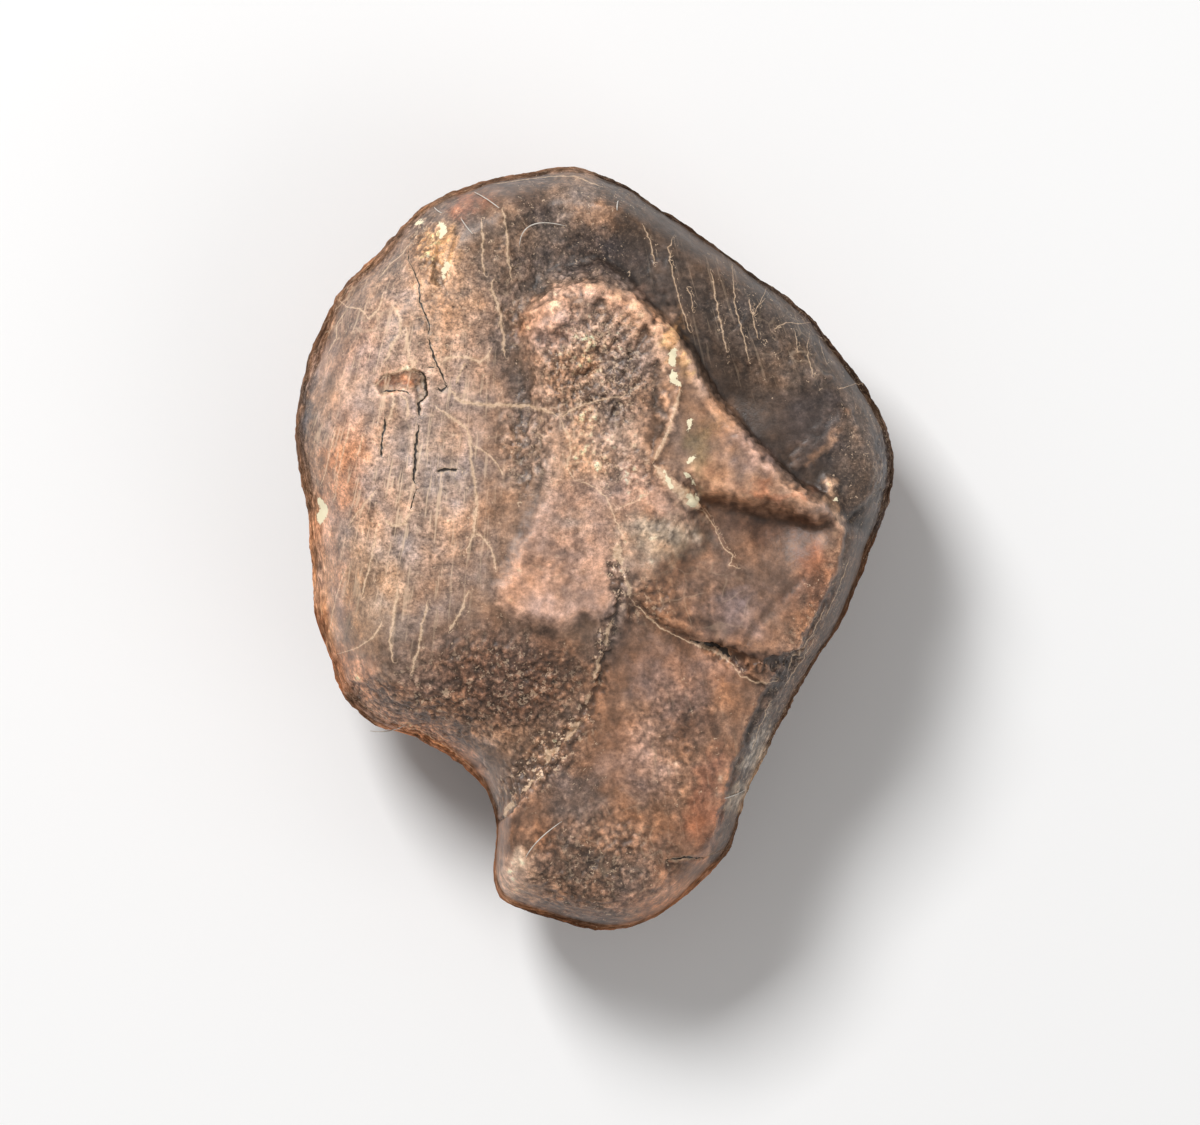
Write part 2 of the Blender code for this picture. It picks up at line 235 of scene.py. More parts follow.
# Pale mineral veins, by where they are: half width in pixels, points
VEINS = {
    "below the standing cracks": (
        (1.3, ((412, 512), (407, 524), (395, 527), (385, 520))),
        (1.0, ((379, 526), (376, 547), (371, 569), (363, 600))),
    ),
    "lower left": (
        (1.0, ((347, 573), (340, 590), (334, 612), (331, 635))),
        (1.1, ((336, 655), (349, 651), (362, 647), (376, 637), (384, 622))),
    ),
    "orange field": (
        (1.3, ((338, 430), (333, 447), (329, 466), (322, 487))),
        (0.9, ((352, 421), (347, 446), (341, 470), (334, 499))),
        (0.8, ((365, 436), (362, 447), (358, 458))),
        (1.0, ((377, 491), (370, 502), (360, 514), (351, 527))),
    ),
    "across and down the dome": (
        (1.5, (
            (451, 391), (456, 398), (464, 404), (484, 407), (504, 407), (529, 408), (543, 411), (560, 419),
        )),
        (1.2, (
            (435, 407), (446, 415), (455, 421), (468, 430), (472, 446), (472, 461), (475, 480), (478, 502),
            (475, 531), (468, 553),
        )),
    ),
    "valley": (
        (1.0, ((495, 281), (492, 293), (498, 305), (501, 319), (504, 338), (505, 360))),
        (0.8, ((482, 221), (484, 244), (483, 262), (486, 280))),
        (0.8, ((503, 211), (507, 232), (508, 256), (512, 283))),
    ),
    "left lobe": (
        (1.2, ((339, 301), (349, 309), (362, 311), (370, 321), (380, 313), (386, 293))),
        (1.1, ((349, 311), (339, 324), (338, 340), (328, 356))),
    ),
    "round the pocket": (
        (1.3, ((392, 306), (398, 313), (402, 322), (402, 336), (395, 346), (390, 358), (385, 366))),
        (1.1, ((408, 330), (409, 348), (412, 360), (415, 373))),
        (0.8, ((377, 389), (385, 379), (396, 375), (410, 372), (422, 372))),
        (0.9, ((419, 362), (417, 369), (415, 374))),
        (1.1, ((442, 366), (450, 360), (458, 359), (470, 360), (480, 364), (487, 360), (493, 351))),
        (0.9, ((466, 364), (462, 375), (457, 385))),
        (1.2, ((393, 394), (396, 402), (394, 412), (390, 424))),
        (1.0, ((402, 395), (408, 402), (410, 412), (408, 420))),
    ),
    "centre": (
        (0.6, ((560, 419), (568, 436), (572, 452), (566, 468), (575, 482))),
        (0.8, ((560, 419), (574, 411), (592, 404), (612, 400), (628, 397))),
        (0.5, ((575, 482), (592, 486), (606, 498), (612, 512), (619, 530), (628, 545))),
        (0.4, ((612, 512), (626, 506), (640, 500), (652, 492))),
    ),
    "core and lip": (
        (1.3, ((679, 390), (676, 405), (672, 418), (668, 432), (660, 450), (653, 464))),
        (3.8, ((655, 468), (666, 480), (680, 494), (695, 507))),
        (0.4, ((697, 508), (708, 520), (716, 534), (722, 548), (732, 556), (728, 566), (740, 570))),
    ),
    "right wall": (
        (0.35, ((848, 556), (838, 588), (824, 616))),
        (0.4, ((824, 606), (812, 632), (798, 656), (786, 676))),
        (0.35, ((816, 634), (800, 662), (782, 690))),
        (0.35, ((770, 700), (760, 724), (750, 752))),
    ),
    "gap": (
        (0.5, (
            (628, 597), (642, 612), (660, 628), (680, 638), (698, 646), (718, 656), (732, 664), (740, 672),
        )),
        (0.5, ((732, 664), (740, 676), (752, 681), (766, 683), (778, 680))),
    ),
    "crumbs of the seam": (
        (3.0, ((616, 544), (618, 556), (622, 566))),
        (1.8, ((625, 580), (630, 590), (628, 598))),
        (2.2, ((612, 622), (608, 634), (606, 646))),
        (1.6, ((600, 658), (598, 668), (594, 678))),
        (2.0, ((590, 694), (586, 704))),
        (2.6, ((580, 722), (572, 730), (566, 740))),
        (2.4, ((558, 748), (550, 752), (544, 762))),
        (1.8, ((534, 776), (526, 786), (520, 790))),
        (1.8, ((512, 800), (506, 810), (502, 818))),
    ),
    "branches on the dome": (
        (0.6, ((472, 446), (484, 452), (496, 462), (504, 478))),
        (0.7, ((475, 531), (486, 540), (494, 554), (497, 572))),
        (1.1, ((400, 590), (396, 612), (392, 640), (396, 664))),
        (1.0, ((430, 600), (424, 624), (420, 650), (412, 676))),
        (0.9, ((470, 590), (462, 612), (450, 632))),
    ),
    "trough": (
        (0.4, ((641, 225), (647, 236), (651, 248), (654, 270))),
        (0.42, ((674, 238), (668, 252), (672, 275), (675, 291), (683, 315), (691, 341))),
        (0.35, ((687, 289), (690, 300), (693, 314))),
        (0.55, ((709, 270), (712, 284), (716, 306), (720, 326), (724, 342), (727, 358))),
        (0.5, ((731, 268), (733, 290), (735, 312), (741, 332), (745, 350), (749, 366))),
        (0.42, ((748, 298), (750, 312), (753, 326), (758, 342))),
        (0.48, ((766, 290), (760, 302), (752, 319))),
        (0.6, ((772, 331), (779, 327), (786, 324), (797, 325), (808, 325))),
        (0.4, ((793, 329), (796, 343), (796, 356))),
        (0.45, ((809, 334), (806, 348), (808, 364), (811, 380))),
        (0.6, ((836, 391), (846, 388), (856, 384), (864, 385))),
        (0.4, ((818, 338), (822, 352), (826, 366))),
    ),
    "rims": (
        (0.9, ((484, 187), (505, 184), (528, 181), (552, 178), (575, 179), (603, 190))),
        (1.2, ((413, 243), (404, 256), (392, 266), (380, 280))),
        (0.8, ((346, 694), (366, 708), (398, 724), (424, 734), (454, 752), (484, 782))),
    ),
}


class Tint(Enum):
    """The fossil's colours, as sRGB bytes."""

    CHOCOLATE = (128, 106, 91)
    FAWN = (184, 154, 135)
    HONEY = (190, 152, 122)
    AMBER = (206, 162, 118)
    ROSE = (178, 146, 130)
    CREAM = (214, 186, 158)
    DOVE = (164, 144, 132)
    ORANGE = (190, 142, 112)
    RUST = (152, 102, 78)
    TERRACOTTA = (166, 134, 112)
    UMBER = (98, 72, 57)
    SOOT = (74, 62, 56)
    SLATE = (88, 82, 80)
    CHARCOAL = (74, 62, 54)
    TAUPE = (116, 99, 87)
    COCOA = (142, 113, 92)
    MAUVE = (140, 118, 110)
    OLIVE = (132, 112, 88)
    SAND = (205, 167, 140)
    PUTTY = (166, 150, 134)
    BLUSH = (198, 160, 138)
    CLAY = (132, 103, 84)
    MAHOGANY = (112, 78, 60)
    BISTRE = (84, 65, 54)

    @property
    def linear(self) -> Array:
        """The colour in the renderer's linear light."""
        share = np.array(self.value) / 255
        return np.where(share <= 0.04045, share / 12.92, ((share + 0.055) / 1.055) ** 2.4)


class Texture(Enum):
    """The kinds of surface that the broken face shows."""

    SUGAR = "sugar"
    PITTED = "pitted"
    CRUMBLY = "crumbly"
    GROOVED = "grooved"
    VEINED = "veined"
    CRUSTED = "crusted"
    GRITTY = "gritty"


# Colours that follow the broken faces: the face, its tint, strength, and the softness of its edge in
# pixels
FACET_TINTS = (
    ("lower block", Tint.CLAY, 1.0, 9.0),
    ("right block", Tint.CLAY, 0.9, 8.0),
    ("upper hollow", Tint.TAUPE, 0.8, 40.0),
    ("core", Tint.COCOA, 0.8, 16.0),
    ("core", Tint.FAWN, 0.35, 16.0),
    ("lip", Tint.TERRACOTTA, 0.8, 8.0),
    ("lip", Tint.CLAY, 0.35, 8.0),
    ("boss", Tint.ROSE, 0.6, 26.0),
    ("trough", Tint.CHARCOAL, 0.95, 8.0),
    ("right wall", Tint.CHARCOAL, 0.8, 4.0),
)

# Stains of the face, with some painted shadows and highlights among them, each one over those before it:
# tint, centre, radii, clockwise turn of the oval in degrees, strength
STAINS = (
    (Tint.FAWN, (415, 450), (135, 235), -4, 1.0),
    (Tint.HONEY, (440, 300), (52, 90), 8, 0.65),
    (Tint.AMBER, (445, 248), (26, 34), 0, 0.8),
    (Tint.TAUPE, (474, 214), (60, 36), 0, 0.9),
    (Tint.UMBER, (474, 212), (50, 30), 0, 0.7),
    (Tint.RUST, (474, 206), (40, 14), -20, 0.5),
    (Tint.COCOA, (420, 205), (36, 16), -35, 0.6),
    (Tint.ROSE, (346, 340), (42, 60), 0, 0.8),
    (Tint.TAUPE, (340, 320), (44, 60), 0, 0.75),
    (Tint.DOVE, (425, 480), (60, 110), 0, 0.8),
    (Tint.TAUPE, (436, 470), (34, 90), 0, 0.35),
    (Tint.TAUPE, (404, 600), (18, 90), 4, 0.4),
    (Tint.ORANGE, (345, 475), (36, 76), 12, 0.9),
    (Tint.CREAM, (375, 585), (52, 85), 0, 0.2),
    (Tint.BLUSH, (330, 560), (24, 110), -4, 0.8),
    (Tint.SAND, (322, 600), (12, 110), -6, 0.8),
    (Tint.SLATE, (303, 400), (13, 80), -4, 0.8),
    (Tint.RUST, (308, 620), (14, 90), -8, 0.5),
    (Tint.SLATE, (344, 285), (44, 14), -42, 0.6),
    (Tint.UMBER, (356, 264), (64, 16), -44, 0.8),
    (Tint.UMBER, (318, 330), (12, 50), 14, 0.5),
    (Tint.COCOA, (402, 386), (28, 14), 0, 0.9),
    (Tint.RUST, (396, 382), (16, 7), 0, 0.7),
    (Tint.BISTRE, (420, 388), (8, 14), 0, 0.9),
    (Tint.ORANGE, (350, 676), (46, 30), 40, 0.8),
    (Tint.UMBER, (505, 676), (132, 76), 0, 0.9),
    (Tint.BISTRE, (556, 652), (66, 34), 0, 0.5),
    (Tint.CLAY, (420, 706), (90, 20), 28, 0.9),
    (Tint.UMBER, (420, 690), (50, 20), 16, 0.5),
    # Painted orange light along the lower left rim
    (Tint.ORANGE, (436, 742), (90, 18), 30, 0.7),
    (Tint.COCOA, (520, 750), (56, 40), 45, 0.7),
    (Tint.SLATE, (512, 360), (26, 100), 0, 0.45),
    (Tint.TAUPE, (528, 470), (22, 60), 20, 0.5),
    (Tint.TAUPE, (505, 250), (60, 70), 0, 0.8),
    (Tint.SOOT, (532, 205), (42, 26), 0, 0.9),
    (Tint.COCOA, (596, 217), (34, 28), 0, 0.9),
    (Tint.SOOT, (600, 258), (70, 34), 0, 1.0),
    (Tint.SOOT, (530, 262), (40, 20), 0, 0.6),
    (Tint.SOOT, (810, 430), (70, 56), 20, 0.9),
    (Tint.TAUPE, (790, 375), (44, 20), 20, 0.4),
    (Tint.COCOA, (824, 440), (7, 40), 48, 0.8),
    (Tint.TAUPE, (862, 440), (30, 60), 0, 0.6),
    (Tint.SAND, (592, 448), (56, 50), 0, 0.9),
    (Tint.BLUSH, (550, 328), (38, 34), 0, 0.9),
    # Painted highlight along the crest's lit edge
    (Tint.SAND, (668, 350), (16, 40), -20, 0.8),
    (Tint.AMBER, (681, 356), (11, 40), -8, 0.8),
    (Tint.TERRACOTTA, (722, 424), (24, 40), -34, 0.7),
    (Tint.CHARCOAL, (655, 410), (10, 52), -2, 0.8),
    (Tint.TAUPE, (616, 420), (13, 24), 10, 0.8),
    (Tint.TAUPE, (622, 364), (14, 9), -40, 0.8),
    (Tint.TAUPE, (580, 386), (22, 9), -20, 0.7),
    (Tint.SAND, (586, 356), (40, 16), -34, 0.7),
    (Tint.BLUSH, (600, 296), (60, 12), 8, 0.6),
    (Tint.MAUVE, (757, 462), (44, 20), 36, 0.6),
    (Tint.RUST, (770, 490), (60, 9), 14, 0.5),
    (Tint.OLIVE, (702, 450), (26, 44), 0, 1.0),
    (Tint.BLUSH, (640, 490), (44, 34), 0, 0.9),
    (Tint.BLUSH, (556, 588), (56, 34), 0, 0.6),
    (Tint.DOVE, (572, 520), (34, 22), 0, 0.5),
    (Tint.CREAM, (690, 500), (14, 10), 30, 0.9),
    (Tint.PUTTY, (668, 540), (46, 34), 0, 1.0),
    # Painted shadow in the recess under the lip
    (Tint.UMBER, (765, 530), (66, 20), 12, 0.8),
    (Tint.MAUVE, (730, 610), (54, 40), 0, 0.8),
    (Tint.MAHOGANY, (806, 584), (34, 44), 20, 0.6),
    (Tint.RUST, (808, 562), (26, 24), 0, 0.3),
    (Tint.CLAY, (785, 632), (34, 26), 0, 0.7),
    (Tint.CLAY, (666, 604), (32, 34), 0, 0.7),
    (Tint.HONEY, (834, 505), (10, 26), -8, 0.8),
    # Painted shadow in the gap under the right block's lower edge
    (Tint.BISTRE, (700, 634), (62, 10), 24, 0.8),
    (Tint.BISTRE, (752, 658), (56, 14), 12, 0.9),
    (Tint.BISTRE, (786, 660), (20, 12), -20, 0.9),
    (Tint.SLATE, (886, 480), (12, 110), 4, 0.8),
    (Tint.MAUVE, (672, 680), (60, 56), 0, 0.7),
    (Tint.MAUVE, (712, 676), (34, 18), 20, 0.8),
    (Tint.CLAY, (745, 700), (24, 34), 30, 0.7),
    (Tint.UMBER, (694, 722), (20, 44), 10, 0.6),
    (Tint.ROSE, (636, 762), (50, 50), 0, 0.6),
    (Tint.RUST, (706, 806), (26, 70), 14, 0.55),
    (Tint.MAHOGANY, (708, 812), (22, 64), 14, 0.35),
    (Tint.UMBER, (672, 850), (26, 40), 0, 0.5),
    (Tint.SLATE, (576, 806), (46, 44), 0, 0.6),
    (Tint.CHARCOAL, (590, 866), (70, 44), 0, 0.7),
    (Tint.BISTRE, (556, 850), (20, 40), 0, 0.5),
    (Tint.ORANGE, (644, 898), (66, 24), -16, 0.6),
    (Tint.BISTRE, (574, 918), (100, 18), 6, 0.8),
    # Painted highlight on the knob of the root, on the side that faces the light
    (Tint.SAND, (524, 872), (30, 32), 0, 1.0),
    (Tint.CREAM, (520, 866), (18, 18), 0, 0.6),
    (Tint.PUTTY, (750, 766), (10, 74), 22, 1.0),
    (Tint.BISTRE, (500, 815), (24, 20), 0, 0.8),
    (Tint.SOOT, (822, 340), (70, 18), 48, 0.7),
    (Tint.SOOT, (520, 186), (60, 14), -6, 0.6),
    (Tint.TAUPE, (440, 196), (50, 14), -32, 0.7),
    (Tint.BLUSH, (398, 730), (60, 12), 24, 0.6),
)

# Where each kind of surface is, in ovals: centre, radii, clockwise turn in degrees, strength
TEXTURES = {
    Texture.SUGAR: (
        ((596, 372), (80, 88), 0, 1.0),
        ((512, 300), (26, 120), 0, 0.35),
        ((528, 440), (40, 80), 0, 0.5),
        ((600, 450), (60, 40), 0, 0.35),
        ((665, 530), (40, 26), 0, 0.3),
    ),
    Texture.PITTED: (
        ((500, 690), (125, 84), 0, 1.0),
        ((590, 860), (110, 80), 0, 0.8),
        ((690, 600), (90, 50), 0, 0.3),
        ((672, 740), (80, 120), 12, 0.4),
        ((565, 265), (90, 60), 0, 0.5),
        ((420, 712), (110, 40), 28, 0.8),
    ),
    Texture.CRUMBLY: (
        ((618, 580), (14, 50), 0, 0.8),
        ((602, 650), (13, 60), 14, 0.8),
        ((548, 752), (32, 92), 42, 1.0),
        ((628, 470), (60, 40), 30, 0.4),
        ((440, 700), (90, 24), 30, 0.5),
        ((650, 600), (40, 40), 0, 0.4),
        ((500, 680), (130, 66), 0, 0.4),
        ((600, 862), (110, 70), 0, 0.24),
        ((560, 560), (50, 70), 0, 0.14),
        ((428, 246), (26, 40), 0, 0.6),
        ((784, 690), (30, 240), 22, 0.25),
        ((884, 470), (20, 140), 0, 0.3),
    ),
    Texture.GROOVED: (
        ((400, 450), (150, 260), 0, 1.0),
        ((740, 320), (150, 90), 42, 0.25),
        ((690, 760), (70, 110), 10, 0.3),
    ),
    Texture.VEINED: (
        ((350, 320), (60, 80), 0, 1.0),
        ((700, 600), (90, 60), 0, 0.4),
        ((450, 420), (80, 130), 0, 0.6),
        ((580, 430), (70, 60), 0, 1.0),
        ((800, 340), (70, 60), 40, 0.6),
        ((620, 850), (90, 90), 0, 0.4),
    ),
    Texture.GRITTY: (
        ((430, 310), (160, 180), 0, 1.0),
        ((400, 500), (150, 200), 0, 0.8),
        ((560, 250), (120, 90), 0, 0.9),
        ((590, 370), (95, 100), 0, 1.0),
        ((490, 690), (140, 90), 0, 0.9),
        ((560, 770), (60, 60), 0, 0.6),
        ((770, 330), (130, 80), 40, 0.6),
        ((590, 880), (110, 70), 0, 0.7),
        ((680, 750), (80, 130), 12, 0.3),
        ((400, 710), (110, 40), 28, 0.8),
        ((310, 430), (22, 170), 0, 0.8),
        ((784, 690), (34, 240), 22, 0.9),
        ((862, 450), (50, 170), 0, 0.8),
        ((600, 190), (150, 40), 10, 0.8),
        ((600, 500), (90, 110), 0, 0.5),
    ),
    Texture.CRUSTED: (
        ((322, 510), (8, 18), 0, 1.0),
        ((443, 234), (5, 12), 0, 0.7),
        ((444, 274), (5, 18), 0, 0.65),
        ((420, 224), (12, 5), -30, 0.7),
        ((677, 381), (10, 13), 0, 1.0),
        ((675, 359), (8, 15), 0, 0.9),
        ((687, 423), (7, 9), 0, 0.6),
        ((689, 461), (6, 8), 0, 0.65),
        ((690, 480), (6, 8), 0, 0.6),
        ((688, 500), (16, 8), 45, 0.9),
        ((668, 482), (18, 5), 45, 0.75),
        ((836, 500), (5, 8), 0, 0.6),
    ),
}

# Lint fibres that lie on the tooth as dirt: name, height of their bow above the face, and points
FIBRES = (
    ("hair of the upper left", 0.05 * MM, ((475, 194), (488, 202), (500, 211))),
    ("short hair of the upper left", 0.05 * MM, ((462, 221), (468, 230), (474, 237))),
    ("hook of the top", 0.14 * MM, ((521, 248), (522, 236), (532, 228), (549, 224), (565, 229))),
    ("crumb of lint", 0.04 * MM, ((435, 209), (439, 213), (443, 215))),
    ("mote of the tip", 0.04 * MM, ((618, 203), (617, 208), (617, 213))),
    ("hair of the stump", 0.22 * MM, ((562, 820), (546, 832), (534, 844), (526, 856))),
    ("hair of the right side", 0.10 * MM, ((724, 797), (734, 794), (745, 789))),
    ("hair of the lower left rim", 0.10 * MM, ((370, 731), (388, 731), (405, 725))),
)


def ease(t: Array) -> Array:
    """0 below 0, 1 above 1, and a smooth rise between them."""
    t = np.clip(t, 0, 1)
    return t * t * (3 - 2 * t)


def rise(values: Array, start: float, span: float) -> Array:
    """0 up to a start, 1 a span further on, and a smooth rise between them."""
    return ease((values - start) / span)


def at_photo(points_px: Pixels) -> Array:
    """Points of the photograph as metres from the pole, in the tooth's X and Y."""
    return (np.asarray(points_px, float).reshape(-1, 2) - POLE_PX) * (PX, -PX)


def smooth_loop(values: Array, width: int) -> Array:
    """A running mean round a closed loop of values, taken three times."""
    for _ in range(3):
        values = sum(np.roll(values, shift) for shift in range(-width, width + 1)) / (2 * width + 1)
    return values


def line_distance(x: Array, y: Array, line: Array, closed: bool = False) -> tuple[Array, Array, Array]:
    """How each point lies to a line of points.

    Args:
        x: The points' places to the right.
        y: The points' places to the top.
        line: The line's points, in the same unit.
        closed: Whether the last point joins the first.

    Returns:
        The distance, the side (1 on the left as the line runs, or -1), and how far along the line
        the nearest place is, from 0 to 1.
    """
    ends = np.roll(line, -1, axis=0) if closed else line[1:]
    starts = line if closed else line[:-1]
    lengths = np.hypot(*(ends - starts).T)
    nearest = np.full(x.shape, np.inf)
    side = np.ones(x.shape)
    along = np.zeros(x.shape)
    passed = 0.0
    for (ax, ay), (bx, by), length in zip(starts, ends, lengths):
        dx, dy = bx - ax, by - ay
        t = np.clip(((x - ax) * dx + (y - ay) * dy) / (dx * dx + dy * dy), 0, 1)
        gap = np.hypot(x - ax - t * dx, y - ay - t * dy)
        closer = gap < nearest
        nearest = np.where(closer, gap, nearest)
        side = np.where(closer, np.where(dx * (y - ay) - dy * (x - ax) >= 0, 1.0, -1.0), side)
        along = np.where(closer, passed + t * length, along)
        passed += length
    return nearest, side, along / passed


def inside_depth(x: Array, y: Array, loop: Array) -> Array:
    """How far inside a closed loop each point lies, and below 0 outside it."""
    nearest, _, _ = line_distance(x, y, loop, closed=True)
    inside = np.zeros(x.shape, bool)
    for (ax, ay), (bx, by) in zip(loop, np.roll(loop, -1, axis=0)):
        if ay != by:
            inside ^= ((ay > y) != (by > y)) & (x < (bx - ax) * (y - ay) / (by - ay) + ax)
    return np.where(inside, nearest, -nearest)


def cover(x: Array, y: Array, loop: Array, wall: float) -> Array:
    """1 inside a closed loop, 0 outside it, and a slope as wide as its wall between them."""
    return ease(inside_depth(x, y, loop) / wall + 0.5)


def near(u: Array, v: Array, points_px: Pixels, margin: float) -> Array:
    """The indices of the points within a margin of some pixels' box."""
    low = np.min(points_px, axis=0) - margin
    high = np.max(points_px, axis=0) + margin
    return np.flatnonzero((u > low[0]) & (u < high[0]) & (v > low[1]) & (v < high[1]))


class Noise:
    """Smooth and cellular noise at many points at once, the same on every run."""

    TABLE = 256
    LIFT = 2.0
    LACUNARITY = 2.03
    RAGGED_GAIN = 0.6

    def __init__(self, seed: int) -> None:
        """Fills the tables that the noise is read from."""
        rng = np.random.default_rng(seed)
        self.order = rng.permutation(self.TABLE)
        slopes = rng.normal(size=(self.TABLE, 3))
        self.slopes = slopes / np.linalg.norm(slopes, axis=1, keepdims=True)
        self.spots = rng.random((self.TABLE, 3))

    def _key(self, cell: Array) -> Array:
        """A table index for each cell of the lattice."""
        order, last = self.order, self.TABLE - 1
        first = order[cell[:, 0] & last]
        second = order[(first + cell[:, 1]) & last]
        return order[(second + cell[:, 2]) & last]

    def smooth(self, points: Array) -> Array:
        """Gradient noise from about -1 to 1, with bumps about one unit wide."""
        base = np.floor(points).astype(np.int64)
        part = points - base
        fade = part**3 * (part * (part * 6 - 15) + 10)
        total = np.zeros(len(points))
        for corner in np.ndindex(2, 2, 2):
            slope = self.slopes[self._key(base + corner)]
            weight = np.prod(np.where(corner, fade, 1 - fade), axis=1)
            total += weight * np.einsum("ij,ij->i", slope, part - corner)
        return total * self.LIFT

    def layered(self, points: Array, layers: int = 4, gain: float = 0.5, shift: float = 0.0) -> Array:
        """Gradient noise with finer, weaker layers added, read from a place that is shifted."""
        moved = points + shift
        total = np.zeros(len(points))
        for layer in range(layers):
            total += gain**layer * self.smooth(moved * self.LACUNARITY**layer + layer)
        return total

    def moved(
        self, x: Array, y: Array, reach: float | Array, size: float, layers: int, shift: float
    ) -> tuple[Array, Array]:
        """Places moved about, so that what is drawn over them gets ragged.

        Args:
            x: The places along the first axis.
            y: The places along the second axis.
            reach: How far they move.
            size: The width of the noise's bumps.
            layers: How many layers the noise has.
            shift: How far the second axis's noise is from the first's.

        Returns:
            The new places along both axes.
        """
        flat = np.stack((x, y, np.zeros(x.shape)), axis=1) / size
        return (
            x + reach * self.layered(flat, layers, self.RAGGED_GAIN),
            y + reach * self.layered(flat, layers, self.RAGGED_GAIN, shift),
        )

    def cells(self, points: Array) -> tuple[Array, Array, Array]:
        """Cellular noise.

        Args:
            points: The points, in cell widths.

        Returns:
            The distance to the nearest seed, a number from 0 to 1 that is the same all over a cell, and
            the height of a plane that is tilted at random in each cell.
        """
        base = np.floor(points).astype(np.int64)
        nearest = np.full(len(points), np.inf)
        tone = np.zeros(len(points))
        tilt = np.zeros(len(points))
        for step in np.ndindex(3, 3, 3):
            cell = base + step - 1
            key = self._key(cell)
            offset = points - cell - self.spots[key]
            gap = np.linalg.norm(offset, axis=1)
            closer = gap < nearest
            nearest = np.where(closer, gap, nearest)
            tone = np.where(closer, key / self.TABLE, tone)
            tilt = np.where(closer, np.einsum("ij,ij->i", self.slopes[key], offset), tilt)
        return nearest, tone, tilt


@dataclass
class Patch:
    """Points of the skin in metres from the pole, how much of a rim each is, and which are on the face."""

    points: Array
    rim_part: Array
    on_face: Array

    BACK_FADE = 2.2
    SIDE_START, SIDE_SPAN = 0.35, 0.5

    def back(self) -> Array:
        """1 on the back, 0 on the face, and between them next to the rim."""
        return np.where(self.on_face, 0, ease((1 - self.rim_part) * self.BACK_FADE))

    def side(self) -> Array:
        """1 where the skin stands upright, 0 where it lies flat."""
        return rise(self.rim_part, self.SIDE_START, self.SIDE_SPAN)

    def joined(self, other: "Patch") -> "Patch":
        """This patch and another one as one."""
        return Patch(
            np.vstack((self.points, other.points)),
            np.concatenate((self.rim_part, other.rim_part)),
            np.concatenate((self.on_face, other.on_face)),
        )


